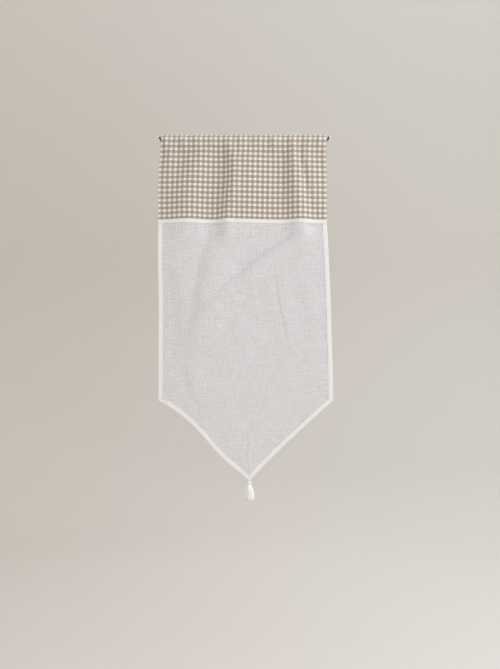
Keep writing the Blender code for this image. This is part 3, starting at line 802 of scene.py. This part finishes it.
def checked_map(points, width):
    """Map of the checked panel: each row's own length, drawn out to the cut width."""
    across = lengths_along(points, 1)
    across = across / across[:, -1:] * width
    along = lengths_along(points, 0).mean(axis=1, keepdims=True) + 0.0 * across
    return np.stack([across, along], axis=-1)


def sheer_surface(columns, rows):
    """The sheer panel's middle surface: level rows at the top that bend down into the V."""
    share = np.linspace(0.0, 1.0, columns)[None, :]
    drop = np.linspace(0.0, 1.0, rows)[:, None]
    corner_left = CORNER_LEFT_X + SHEER_EDGE_INSET
    corner_right = CORNER_RIGHT_X - SHEER_EDGE_INSET
    foot = hem_at(corner_left + share * (corner_right - corner_left), SHEER_EDGE_INSET)
    z = SHEER_TOP + drop * (foot - SHEER_TOP)
    left, right = edges_at(z)
    x = left + SHEER_EDGE_INSET + share * (right - left - 2.0 * SHEER_EDGE_INSET)
    return in_place(x, sheer_depth(x, z), z)


def tape_lines(side, slanted, stations):
    """Where a tape runs: X and Z for each station and any distance in from its outer edge."""
    sign = 1.0 if side == "left" else -1.0
    corner_x = CORNER_LEFT_X if side == "left" else CORNER_RIGHT_X
    bows = BOW_LEFT if side == "left" else BOW_RIGHT
    along = np.linspace(0.0, 1.0, stations)

    def side_line(inset):
        top = BAND_LOW.z / MM - 0.15
        foot = hem_height(corner_x + sign * inset, inset, corner_x, bows) + MITRE_GAP
        z = top + along * (foot - top)
        left, right = edges_at(z)
        return (left if side == "left" else right) + sign * inset, z

    def slant_line(inset):
        start = corner_x + sign * inset
        end = TIP_X - sign * MITRE_GAP
        x = start + along * (end - start)
        return x, hem_height(x, inset, corner_x, bows) - MITRE_GAP * (1.0 - along)

    return slant_line if slanted else side_line


def tape_height(inset, width):
    """How far the tape's outer face stands off its middle: a rolled rim and a stitched groove."""
    rim = 0.22 * np.exp(-(((inset - width + 0.9) / 0.7) ** 2))
    groove = 0.2 * np.exp(-(((inset - width + TAPE_STITCH_INSET) / 0.7) ** 2))
    puff = 0.16 * np.sin(np.pi * np.clip(inset / (width - TAPE_STITCH_INSET), 0.0, 1.0))
    return 0.5 * TAPE_THICKNESS + puff + rim - groove


def tape_section(width, outer):
    """Half section points from the front rim round the fold to the back rim."""
    inset = np.concatenate([np.linspace(width, width - 4.0, 9), np.linspace(width - 5.5, 1.6, 7)])
    turn = np.radians(np.linspace(90.0, 270.0, 9))[1:-1]
    face = tape_height(inset, width) if outer else np.full(len(inset), -0.5 * TAPE_THICKNESS)
    reach = TAPE_FOLD + face
    fold_reach = reach[-1]
    centre = TAPE_FOLD + 0.5 * TAPE_THICKNESS
    round_inset = centre + fold_reach * np.cos(turn)
    round_reach = fold_reach * np.sin(turn)
    insets = np.concatenate([inset, round_inset, inset[::-1]])
    return insets, np.concatenate([reach, round_reach, -reach[::-1]])


def sheer_frame(x, z):
    """Points of the sheer panel's surface and its unit normals, by small steps each way."""
    step = 0.5
    along_x = (sheer_depth(x + step, z) - sheer_depth(x - step, z)) / (2.0 * step)
    along_z = (sheer_depth(x, z + step) - sheer_depth(x, z - step)) / (2.0 * step)
    normals = np.stack([-along_x, -np.ones_like(along_x), -along_z], axis=-1)
    normals /= np.linalg.norm(normals, axis=-1, keepdims=True)
    return in_place(x, sheer_depth(x, z), z), normals


def tape_shell(line, width, stations, seed):
    """A tape folded over the cloth's edge, with a slight waver where its stitches draw it in."""
    draw = np.random.default_rng(seed)
    phase = draw.uniform(0.0, TURN, 3)
    along = np.linspace(0.0, 1.0, stations) * stations
    waver = 0.12 * np.sin(along * 0.9 + phase[0]) + 0.1 * np.sin(along * 0.37 + phase[1])
    grids = []
    for outer in (True, False):
        layers = []
        for inset, reach in zip(*tape_section(width, outer)):
            x, z = line(inset)
            points, normals = sheer_frame(x, z)
            lift = reach * (1.0 + 0.25 * waver * np.clip(inset / width, 0.0, 1.0) * outer)
            layers.append(points + normals * lift[:, None] * MM)
        grids.append(np.array(layers))
    insets = tape_section(width, True)[0]
    length = lengths_along(grids[0], 1).mean(axis=0)
    turned = np.where(np.arange(len(insets)) < len(insets) // 2, insets, -insets)
    uv = np.stack(np.broadcast_arrays(turned[:, None] * MM, length[None, :]), axis=-1)
    return shell_between(grids[0], grids[1], uv)


def band_shell(columns):
    """The tape across the join: a flat strip with rolled rims, just in front of both cloths."""
    share = np.linspace(0.0, 1.0, columns)
    height = (BAND_HIGH.z - BAND_LOW.z) / MM
    inset = np.concatenate([np.linspace(0.0, 3.0, 7), np.linspace(4.0, height - 4.0, 7)])
    inset = np.concatenate([inset, np.linspace(height - 3.0, height, 7)])
    grids = []
    for outer in (True, False):
        layers = []
        for across in inset:
            rim = min(across, height - across)
            rise = 0.2 * math.exp(-(((rim - 0.8) / 0.6) ** 2))
            rise -= 0.2 * math.exp(-(((rim - BAND_STITCH_INSET) / 0.6) ** 2))
            lift = LAYER_STEP + (0.5 if outer else -0.5) * TAPE_THICKNESS + (rise if outer else 0.0)
            z = np.full(columns, BAND_HIGH.z / MM - across)
            left, right = edges_at(np.full(columns, JOIN_TOP))
            x = left + share * (right - left)
            layers.append(in_place(x, join_depth(x) + lift, z))
        grids.append(np.array(layers))
    length = lengths_along(grids[0], 1)
    uv = np.stack([inset[:, None] * MM + 0.0 * length, length], axis=-1)
    return shell_between(grids[0], grids[1], uv)


def stitch_template(length, radius, sides=6):
    """One stitch along X: rings that swell from a point to the middle and back."""
    share = np.array((-0.5, -0.42, -0.2, 0.2, 0.42, 0.5))
    swell = np.array((0.15, 0.7, 1.0, 1.0, 0.7, 0.15))
    sink = np.array((-0.9, -0.25, 0.0, 0.0, -0.25, -0.9)) * radius
    turn = np.linspace(0.0, TURN, sides, endpoint=False)
    x = np.repeat(share * length, sides)
    y = (swell[:, None] * radius * np.cos(turn)).ravel()
    z = (swell[:, None] * radius * 0.8 * np.sin(turn) + sink[:, None]).ravel()
    faces = [list(face) for face in grid_faces(len(share), sides, around=True)]
    faces.append(list(range(sides))[::-1])
    faces.append(list(range((len(share) - 1) * sides, len(share) * sides)))
    return np.stack([x, y, z], axis=-1), faces


def stitch_row(path, normals, pitch, length, radius):
    """Copies of one stitch laid along a path on a surface, all placed as one array."""
    along = np.concatenate([[0.0], np.cumsum(np.linalg.norm(np.diff(path, axis=0), axis=1))])
    at = np.arange(0.5 * pitch, along[-1] - 0.3 * pitch, pitch)

    def read(values):
        return np.stack([np.interp(at, along, values[:, k]) for k in range(3)], axis=-1)

    centre = read(path)
    facing = read(normals)
    forward = read(np.gradient(path, along, axis=0))
    forward /= np.linalg.norm(forward, axis=-1, keepdims=True)
    across = np.cross(facing, forward)
    across /= np.linalg.norm(across, axis=-1, keepdims=True)
    template, faces = stitch_template(length, radius)
    axes = np.stack([forward, across, np.cross(forward, across)], axis=1)
    points = centre[:, None] + np.einsum("pk,nkc->npc", template, axes)
    count = len(template)
    all_faces = [[corner + count * k for corner in face] for k in range(len(at)) for face in faces]
    return points.reshape(-1, 3), all_faces


def join_parts(parts):
    """Points and faces of several parts as one."""
    points, faces, shift = [], [], 0
    for part_points, part_faces in parts:
        points.append(part_points)
        faces += [[corner + shift for corner in face] for face in part_faces]
        shift += len(part_points)
    return np.concatenate(points), faces


def length_property(name, description, default):
    """A length in metres, shown with its unit."""
    return FloatProperty(name=name, description=description, default=default, unit="LENGTH")


class CurtainSizes(bpy.types.PropertyGroup):
    """Sizes of the weave, the tape and the tassel that a user would change."""

    column_pitch: length_property(
        "Column pitch", "Distance from one white column to the next", 0.0181
    )
    row_pitch: length_property("Row pitch", "Distance from one white row to the next", 0.01765)
    first_white_column: length_property(
        "First white column", "Middle of the first white column, from the left edge of the cut", 0.0042
    )
    first_white_row: length_property(
        "First white row", "Middle of a white row, from the lower edge of the checked panel", 0.0072
    )
    checked_width: length_property(
        "Checked cut width", "Width that the checked panel was cut to", 0.6067
    )
    tape_width: length_property("Tape width", "Width of the folded edge tape", 0.0145)
    sheer_cover: FloatProperty(
        name="Sheer cover",
        description="How much of each layer of the sheer weave is thread",
        default=0.58,
        min=0.1,
        max=1.0,
        subtype="FACTOR",
    )
    stitch_pitch: length_property("Stitch pitch", "Distance from one stitch to the next", 0.0034)
    yarn_radius: length_property("Yarn radius", "Radius of one strand of the tassel", 0.00075)
    head_threads: IntProperty(
        name="Head threads",
        description="Strands that run over the tassel's head",
        default=26,
        min=8,
    )


def colour_property(name, description, default):
    """A colour with a picker, in linear values."""
    return FloatVectorProperty(
        name=name, description=description, default=default, subtype="COLOR", size=3, min=0.0, max=1.0
    )


class CurtainColours(bpy.types.PropertyGroup):
    """Colours of the cloths, the metal and the studio."""

    check_colour: colour_property("Check", "Coloured threads of the checks", (0.345, 0.28, 0.22))
    cotton_white: colour_property("Cotton white", "White threads of the checks", (0.845, 0.81, 0.77))
    sheer_colour: colour_property("Sheer", "Threads of the sheer panel", (0.806, 0.798, 0.83))
    sheer_shade: colour_property("Sheer shade", "Thin places of the sheer panel", (0.75, 0.74, 0.765))
    tape_colour: colour_property("Tape", "Tape over the join and the edges", (0.83, 0.815, 0.82))
    yarn_colour: colour_property("Yarn", "Yarn of the tassel", (0.97, 0.965, 0.97))
    thread_colour: colour_property("Thread", "Sewing thread", (0.86, 0.85, 0.83))
    nickel_colour: colour_property("Nickel", "Rod and its ends", (0.72, 0.71, 0.69))
    steel_colour: colour_property("Steel", "Brackets", (0.06, 0.045, 0.035))
    # Painted light on the wall: the right side colour is painted lighter and the left side colour
    # darker, as if lit from the right
    wall_lit_colour: colour_property("Wall", "Right side of the studio", (0.70, 0.668, 0.63))
    wall_painted_shade: colour_property("Wall shade", "Left side of the studio", (0.61, 0.56, 0.505))


class CURTAIN_OT_stage(bpy.types.Operator):
    """Camera, pale floor and soft light of the studio"""

    bl_idname = "curtain.stage"
    bl_label = "Studio"

    def execute(self, context):
        """The camera looks straight along Y at the middle of the photograph's frame."""
        self.add_camera(context)
        self.add_world(context)
        for lamp in LAMPS:
            self.add_light(context, *lamp)
        self.add_room(context)
        return {"FINISHED"}

    def add_camera(self, context):
        distance = 2.9
        seen_height = 2.308
        middle = Vector((0.3102, ROD_AXIS_Y, -0.68))
        data = bpy.data.cameras.new("camera")
        data.sensor_width = 36.0
        data.lens = data.sensor_width * distance / seen_height
        data.clip_start = 0.05
        data.clip_end = 50.0
        camera = bpy.data.objects.new("camera", data)
        camera.location = middle - Vector((0.0, distance, 0.0))
        camera.rotation_euler = (math.radians(90.0), 0.0, 0.0)
        context.scene.collection.objects.link(camera)
        context.scene.camera = camera

    def add_world(self, context):
        """Even pale light, which comes in over the rim of the room."""
        world = bpy.data.worlds.new("studio")
        context.scene.world = world
        context.scene.view_settings.view_transform = "Standard"
        world.use_nodes = True
        surround = world.node_tree.nodes["Background"]
        surround.inputs["Color"].default_value = (0.94, 0.98, 1.02, 1.0)
        surround.inputs["Strength"].default_value = 1.235

    def add_light(self, context, name, place, size, power):
        """A square soft light aimed at the middle of the curtain."""
        data = bpy.data.lights.new(name, "AREA")
        data.shape = "SQUARE"
        data.size = size
        data.energy = power
        light = bpy.data.objects.new(name, data)
        light.location = place
        aim = Vector((0.3, 0.0, -0.6)) - light.location
        light.rotation_euler = aim.to_track_quat("-Z", "Y").to_euler()
        light.visible_camera = False
        context.scene.collection.objects.link(light)

    def add_room(self, context):
        """A round floor that sweeps up into a wall: a profile turned about the curtain."""
        floor_z, floor_reach, sweep, wall_top = -1.95, 2.4, 1.9, 2.6
        sides = 96
        turns = np.linspace(-90.0, 0.0, 13)
        reach = np.concatenate([[0.6, 1.4], floor_reach + sweep * np.cos(np.radians(turns))])
        height = np.concatenate([[0.0, 0.0], sweep * (1.0 + np.sin(np.radians(turns)))])
        reach = np.append(reach, reach[-1])[:, None]
        height = np.append(height + floor_z, wall_top)[:, None]
        turn = np.linspace(0.0, TURN, sides, endpoint=False)[None, :]
        x = 0.295 + reach * np.cos(turn)
        y = reach * np.sin(turn)
        rings = np.stack([x, y, height + 0.0 * x], axis=-1).reshape(-1, 3)
        points = np.vstack([rings, [(0.295, 0.0, floor_z)]])
        faces = [list(face) for face in grid_faces(len(reach), sides, around=True)]
        faces += [[len(rings), k, (k + 1) % sides] for k in range(sides)]
        mesh = bpy.data.meshes.new("room")
        mesh.from_pydata(points.tolist(), [], faces)
        mesh.shade_smooth()
        mesh.materials.append(material_named("studio_wall"))
        room = bpy.data.objects.new("room", mesh)
        context.scene.collection.objects.link(room)


class CURTAIN_OT_checked_panel(bpy.types.Operator):
    """Checked cotton panel gathered on the rod"""

    bl_idname = "curtain.checked_panel"
    bl_label = "Checked panel"

    def execute(self, context):
        """One folded sheet, with its map drawn out to the cut width."""
        sizes = context.scene.curtain_sizes
        surface = checked_surface(*CHECKED_GRID)
        faces = grid_faces(*surface.shape[:2])
        uv = checked_map(surface, sizes.checked_width)
        piece = add_piece("checked_panel_cloth", surface, faces, material_named("checked_cotton"), uv)
        thicken(piece, COTTON_THICKNESS)
        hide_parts("checked_panel")
        return {"FINISHED"}


class CURTAIN_OT_sheer_panel(bpy.types.Operator):
    """Sheer linen-look panel that ends in a V"""

    bl_idname = "curtain.sheer_panel"
    bl_label = "Sheer panel"

    def execute(self, context):
        """One sheet on the soft folds below the join."""
        surface = sheer_surface(*SHEER_GRID)
        faces = grid_faces(*surface.shape[:2])
        uv = surface[..., (0, 2)]
        piece = add_piece("sheer_panel_cloth", surface, faces, material_named("sheer_linen"), uv)
        thicken(piece, SHEER_THICKNESS)
        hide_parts("sheer_panel")
        return {"FINISHED"}


class CURTAIN_OT_tapes(bpy.types.Operator):
    """White tape over the join, the sides and the slanted edges"""

    bl_idname = "curtain.tapes"
    bl_label = "Tapes"

    def execute(self, context):
        """Five tapes, each a closed shell in place of its solid."""
        tape = material_named("white_tape")
        points, faces, uv = band_shell(BAND_COLUMNS)
        self.finish("join_band_tape", points, faces, uv, tape, "join_band")
        width = context.scene.curtain_sizes.tape_width / MM
        for number, side in enumerate(("left", "right")):
            for slanted, node in ((False, "side_binding_"), (True, "slant_binding_")):
                stations = SLANT_STATIONS if slanted else SIDE_STATIONS
                line = tape_lines(side, slanted, stations)
                points, faces, uv = tape_shell(line, width, stations, 20 + 2 * number + slanted)
                self.finish(node + side + "_tape", points, faces, uv, tape, node + side)
        return {"FINISHED"}

    def finish(self, name, points, faces, uv, material, node):
        piece = add_piece(name, points, faces, material, uv)
        point_outwards(piece)
        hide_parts(node)


class CURTAIN_OT_stitches(bpy.types.Operator):
    """Rows of machine stitches along the tapes and the pocket"""

    bl_idname = "curtain.stitches"
    bl_label = "Stitches"

    def execute(self, context):
        """Every stitch is the same small spindle, laid along the seams."""
        sizes = context.scene.curtain_sizes
        shape = (sizes.stitch_pitch, 0.74 * sizes.stitch_pitch, 0.00026)
        rows = []
        width = sizes.tape_width / MM
        inset = width - TAPE_STITCH_INSET
        reach = TAPE_FOLD + float(tape_height(np.array([inset]), width)[0]) + 0.05
        for side in ("left", "right"):
            for slanted in (False, True):
                x, z = tape_lines(side, slanted, 300)(inset)
                middle, normals = sheer_frame(x, z)
                for face in (1.0, -1.0):
                    rows.append(stitch_row(middle + normals * face * reach * MM, normals * face, *shape))
        for z in (BAND_HIGH.z / MM - BAND_STITCH_INSET, BAND_LOW.z / MM + BAND_STITCH_INSET):
            rows.append(self.level_row(z, join_depth, LAYER_STEP + 0.5 * TAPE_THICKNESS, shape))
        rows.append(self.level_row(POCKET_STITCH, self.pocket_depth, COTTON_THICKNESS, shape))
        points, faces = join_parts(rows)
        piece = add_piece("seam_stitches", points, faces, material_named("sewing_thread"))
        point_outwards(piece)
        return {"FINISHED"}

    def pocket_depth(self, x):
        return front_depth(x, np.full(np.shape(x), POCKET_STITCH))

    def level_row(self, z, depth, lift, shape):
        """A row of stitches at one height on the front of the cloth."""
        left, right = edges_at(np.array([max(z, JOIN_TOP)]))
        x = np.linspace(left[0] + 2.0, right[0] - 2.0, 500)
        slope = np.gradient(depth(x), x)
        normals = np.stack([-slope, -np.ones_like(x), np.zeros_like(x)], axis=-1)
        normals /= np.linalg.norm(normals, axis=-1, keepdims=True)
        return stitch_row(in_place(x, depth(x), z) + normals * lift * MM, normals, *shape)


class CURTAIN_OT_tassel(bpy.types.Operator):
    """Cotton tassel at the point of the V"""

    bl_idname = "curtain.tassel"
    bl_label = "Tassel"

    def execute(self, context):
        """Head, wrapped neck and skirt, each from its own arrays."""
        low, high = TASSEL_LOW, TASSEL_HIGH
        self.centre = Vector((0.5 * (low.x + high.x), 0.5 * (low.y + high.y), high.z))
        self.drop = (high.z - low.z) / MM
        yarn = material_named("cotton_yarn")
        pieces = [self.head(context, yarn), self.wrap(yarn), self.skirt(context, yarn)]
        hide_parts("tassel")
        return {"FINISHED"}

    def head(self, context, yarn):
        """A turned drop, drawn up to the tip, whose surface dips between the threads over it."""
        count = context.scene.curtain_sizes.head_threads
        around, down = 8 * count, 48
        t = np.linspace(0.0, 1.0, down)[:, None]
        turn = np.linspace(0.0, TURN, around, endpoint=False)[None, :]
        shares = (0.0, 0.03, 0.08, 0.13, 0.22, 0.5, 0.8, 0.93, 1.0)
        heights = curve_through(t, shares, (2.2, 2.0, 0.4, -0.3, -1.2, -4.2, -7.4, -8.8, -10.5))
        radii = curve_through(t, shares, (0.0, 0.9, 1.2, 2.4, 4.7, 6.5, 5.6, 4.6, 4.4))
        ridge = np.abs(np.sin(0.5 * count * (turn + 0.35 * t)))
        radii = radii * (0.93 + 0.07 * ridge ** 0.6)
        x = self.centre.x + radii * np.cos(turn) * MM
        y = self.centre.y + radii * np.sin(turn) * MM
        z = self.centre.z + (heights + 0.0 * turn) * MM
        points = np.stack([x, y, z], axis=-1)
        strand = np.mod((turn + 0.35 * t) * count / TURN, 1.0)
        uv = np.stack(np.broadcast_arrays(strand, -heights * MM), axis=-1)
        piece = add_piece("tassel_head", points, grid_faces(down, around, around=True), yarn, uv)
        self.close_ends(piece, down, around)
        return piece

    def close_ends(self, piece, rows, sides):
        """Cap the first and the last ring of a turned mesh."""
        work = bmesh.new()
        work.from_mesh(piece.data)
        work.verts.ensure_lookup_table()
        bmesh.ops.remove_doubles(work, verts=work.verts[:sides], dist=0.00002)
        edges = [edge for edge in work.edges if edge.is_boundary]
        bmesh.ops.holes_fill(work, edges=edges, sides=0)
        bmesh.ops.recalc_face_normals(work, faces=work.faces)
        work.to_mesh(piece.data)
        work.free()

    def wrap(self, yarn):
        """The cord round the neck: a helix of close turns, and a tube along it."""
        turns, steps = 5, 44
        share = np.linspace(0.0, 1.0, turns * steps)
        turn = share * turns * TURN
        radius = 4.55 * MM
        x = self.centre.x + radius * np.cos(turn)
        y = self.centre.y + radius * np.sin(turn)
        z = self.centre.z - (8.9 + 4.0 * share) * MM
        path = np.stack([x, y, z], axis=-1)
        grid = tube_grid(path, np.full(len(path), 0.52 * MM), 8)
        faces = [list(face) for face in grid_faces(len(path), 8, around=True)]
        faces += [list(range(8))[::-1], list(range((len(path) - 1) * 8, len(path) * 8))]
        around = np.linspace(0.0, 1.0, 8, endpoint=False)[None, :] + 0.0 * turn[:, None]
        along = (turn * radius)[:, None] + 0.0 * around
        piece = add_piece("tassel_wrap", grid, faces, yarn, np.stack([around, along], axis=-1))
        point_outwards(piece)
        return piece

    def skirt(self, context, yarn):
        """Strands that fan from the neck: each a thin tube with its own waver and length."""
        radius = context.scene.curtain_sizes.yarn_radius
        draw = np.random.default_rng(5)
        sides, steps = 6, 11
        t = np.linspace(0.0, 1.0, steps)
        all_points, all_faces, all_uv = [], [], []
        ring_faces = [list(face) for face in grid_faces(steps, sides, around=True)]
        ring_faces += [list(range(sides))[::-1], list(range((steps - 1) * sides, steps * sides))]
        for ring in STRAND_RINGS:
            for k in range(ring.count):
                turn = TURN * (k + draw.uniform(-0.35, 0.35)) / ring.count
                foot = ring.foot * draw.uniform(0.94, 1.05)
                reach = curve_through(t, (0.0, 0.14, 1.0), (ring.root, ring.shoulder, foot))
                fall = self.drop * ring.length * draw.uniform(0.965, 1.0)
                z = -12.4 - (fall - 12.4) * t
                sway = 0.55 * np.sin(t * draw.uniform(3.0, 7.0) + draw.uniform(0.0, TURN)) * t
                angle = turn + sway / np.maximum(reach, 3.0)
                x = self.centre.x + reach * np.cos(angle) * MM
                y = self.centre.y + reach * np.sin(angle) * SKIRT_FLATNESS * MM
                path = np.stack([x, y, self.centre.z + z * MM], axis=-1)
                width = radius * (0.95 + 0.15 * t) * draw.uniform(0.85, 1.15)
                shift = len(all_points) * steps * sides
                all_faces += [[corner + shift for corner in face] for face in ring_faces]
                all_points.append(tube_grid(path, width, sides).reshape(-1, 3))
                around = np.linspace(0.0, 1.0, sides, endpoint=False)[None, :] + 0.0 * t[:, None]
                along = (-z * MM)[:, None] + 0.0 * around
                all_uv.append(np.stack([around, along], axis=-1).reshape(-1, 2))
        points, uv = np.concatenate(all_points), np.concatenate(all_uv)
        piece = add_piece("tassel_skirt", points, all_faces, yarn, uv)
        point_outwards(piece)
        return piece


class CURTAIN_OT_rod(bpy.types.Operator):
    """Rod with its rounded ends"""

    bl_idname = "curtain.rod"
    bl_label = "Rod and ends"

    def execute(self, context):
        """Both are turned profiles, laid along X."""
        metal = material_named("satin_nickel")
        half = 0.5 * (ROD_HIGH.x - ROD_LOW.x) / MM
        radius = ROD_RADIUS / MM
        rim = 0.35
        profile = [(0.0, half), (radius - rim, half)]
        profile += [(radius - 0.3 * rim, half - 0.3 * rim), (radius, half - rim)]
        profile += [(radius, height) for height in np.linspace(half - 4.0, 4.0 - half, 40)]
        profile += [(r, -h) for r, h in profile[3::-1]]
        middle = 0.5 * (ROD_LOW.x + ROD_HIGH.x)
        self.turned("rod_tube", profile, middle, 1.0, metal, "rod")
        for side, sign in (("left", -1.0), ("right", 1.0)):
            low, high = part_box("rod_knob_" + side)
            length = (high.x - low.x) / MM
            face = high.x if side == "left" else low.x
            profile = self.knob_profile(0.5 * (high.z - low.z) / MM, length)
            self.turned("rod_end_" + side, profile, face, sign, metal, "rod_knob_" + side)
        return {"FINISHED"}

    def knob_profile(self, radius, length):
        """A short drum with a groove near its inner face and a rounded outer rim."""
        rounding = 3.0
        profile = [(0.0, length)]
        for degrees in np.linspace(90.0, 0.0, 10):
            turn = math.radians(degrees)
            out = radius - rounding + rounding * math.cos(turn)
            profile.append((out, length - rounding + rounding * math.sin(turn)))
        profile += [(radius, 1.9), (radius - 0.12, 1.75), (radius - 0.45, 1.55), (radius - 0.45, 1.25)]
        profile += [(radius - 0.12, 1.05), (radius, 0.9), (radius, 0.4), (radius - 0.12, 0.12)]
        profile += [(radius - 0.4, 0.0), (0.0, 0.0)]
        return profile

    def turned(self, name, profile, start, sign, material, node):
        """Turn a profile round the rod's axis, with its heights measured along X from a start."""
        radius, height = np.array(profile, dtype=float).T * MM
        turn = np.linspace(0.0, TURN, TURNED_SIDES, endpoint=False)
        x = start + sign * height[:, None] + 0.0 * turn
        y = ROD_AXIS_Y + radius[:, None] * np.cos(turn)
        z = radius[:, None] * np.sin(turn)
        faces = grid_faces(len(height), len(turn), around=True)
        piece = add_piece(name, np.stack([x, y, z], axis=-1), faces, material)
        work = bmesh.new()
        work.from_mesh(piece.data)
        bmesh.ops.remove_doubles(work, verts=work.verts, dist=0.000005)
        bmesh.ops.recalc_face_normals(work, faces=work.faces)
        work.to_mesh(piece.data)
        work.free()
        piece.data.set_sharp_from_angle(angle=math.radians(50.0))
        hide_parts(node)


class CURTAIN_OT_brackets(bpy.types.Operator):
    """Hooks that carry the rod in front of the sash"""

    bl_idname = "curtain.brackets"
    bl_label = "Brackets"

    def execute(self, context):
        """The side outline of a hook, as wide as its solid, with its edges eased."""
        for side in ("left", "right"):
            node = "rod_bracket_" + side
            low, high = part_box(node)
            outline = self.outline(low, high)
            count = len(outline)
            y, z = outline.T
            points = [np.stack([np.full(count, x), y, z], axis=-1) for x in (low.x, high.x)]
            faces = [list(range(count)), list(range(2 * count - 1, count - 1, -1))]
            faces += [[k, count + k, count + (k + 1) % count, (k + 1) % count] for k in range(count)]
            steel = material_named("dark_steel")
            piece = add_piece(node + "_hook", np.concatenate(points), faces, steel)
            point_outwards(piece)
            bevel = piece.modifiers.new("Eased edges", "BEVEL")
            bevel.width = 0.35 * MM
            bevel.segments = 2
            bevel.limit_method = "ANGLE"
            bevel.angle_limit = math.radians(35.0)
            piece.data.set_sharp_from_angle(angle=math.radians(60.0))
            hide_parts(node)
        return {"FINISHED"}

    def outline(self, low, high):
        """Back plate, arm and open hook: arcs about the rod's axis between straight runs."""
        outer = ROD_AXIS_Y - low.y
        inner = ROD_RADIUS + ROD_CLEARANCE * MM
        plate = -PLATE_THICKNESS * MM
        arm = -ARM_THICKNESS * MM
        lip = LIP_HEIGHT * MM
        start = math.asin(arm / outer)
        around = np.linspace(start, -math.pi, 25)
        back = np.linspace(-math.pi, 0.0, 29)
        hook_y = ROD_AXIS_Y + np.concatenate([outer * np.cos(around), inner * np.cos(back)])
        hook_z = np.concatenate([outer * np.sin(around), inner * np.sin(back)])
        lip_points = [(ROD_AXIS_Y - outer, lip), (ROD_AXIS_Y - inner, lip)]
        hook = np.stack([hook_y, hook_z], axis=-1)
        hook = np.insert(hook, len(around), lip_points, axis=0)
        foot = [(0.0, low.z), (plate, low.z), (plate, arm)]
        head = [(plate, 0.0), (plate, high.z), (0.0, high.z)]
        return np.concatenate([foot, hook, head])


class CURTAIN_OT_declare(bpy.types.Operator):
    """Lists the names of the pieces sewn onto the cloth; nothing further is done with them"""

    bl_idname = "curtain.declare"
    bl_label = "Cut sizes"

    def execute(self, context):
        """The cut is a rectangle with a V below it; this only gathers the names of the tapes, stitches
        and tassel pieces.
        """
        names = ["join_band_tape", "seam_stitches", "tassel_head", "tassel_wrap", "tassel_skirt"]
        for node in ("side_binding_", "slant_binding_"):
            names += [node + side + "_tape" for side in ("left", "right")]
        return {"FINISHED"}


PIECE_OPERATORS = (
    CURTAIN_OT_stage,
    CURTAIN_OT_checked_panel,
    CURTAIN_OT_sheer_panel,
    CURTAIN_OT_tapes,
    CURTAIN_OT_stitches,
    CURTAIN_OT_tassel,
    CURTAIN_OT_rod,
    CURTAIN_OT_brackets,
    CURTAIN_OT_declare,
)


class CURTAIN_PT_panel(bpy.types.Panel):
    """Lists the curtain's pieces and their sizes"""

    bl_idname = "CURTAIN_PT_panel"
    bl_label = "Cafe curtain"
    bl_space_type = "VIEW_3D"
    bl_region_type = "UI"
    bl_category = "Curtain"

    def draw(self, context):
        """A button for each operator, then the sizes and colours."""
        for operator in PIECE_OPERATORS:
            self.layout.operator(operator.bl_idname)
        for group in (context.scene.curtain_sizes, context.scene.curtain_colours):
            for name in group.__annotations__:
                self.layout.prop(group, name)


CLASSES = (CurtainSizes, CurtainColours, *PIECE_OPERATORS, CURTAIN_PT_panel)


def register():
    """Make the operators, the settings and the panel known."""
    for known in CLASSES:
        bpy.utils.register_class(known)
    bpy.types.Scene.curtain_sizes = PointerProperty(type=CurtainSizes)
    bpy.types.Scene.curtain_colours = PointerProperty(type=CurtainColours)


def unregister():
    """Forget them again."""
    del bpy.types.Scene.curtain_colours
    del bpy.types.Scene.curtain_sizes
    for known in reversed(CLASSES):
        bpy.utils.unregister_class(known)


def main():
    """Build every piece in order."""
    register()
    for operator in PIECE_OPERATORS:
        group, name = operator.bl_idname.split(".")
        getattr(getattr(bpy.ops, group), name)()


if __name__ == "__main__":
    main()
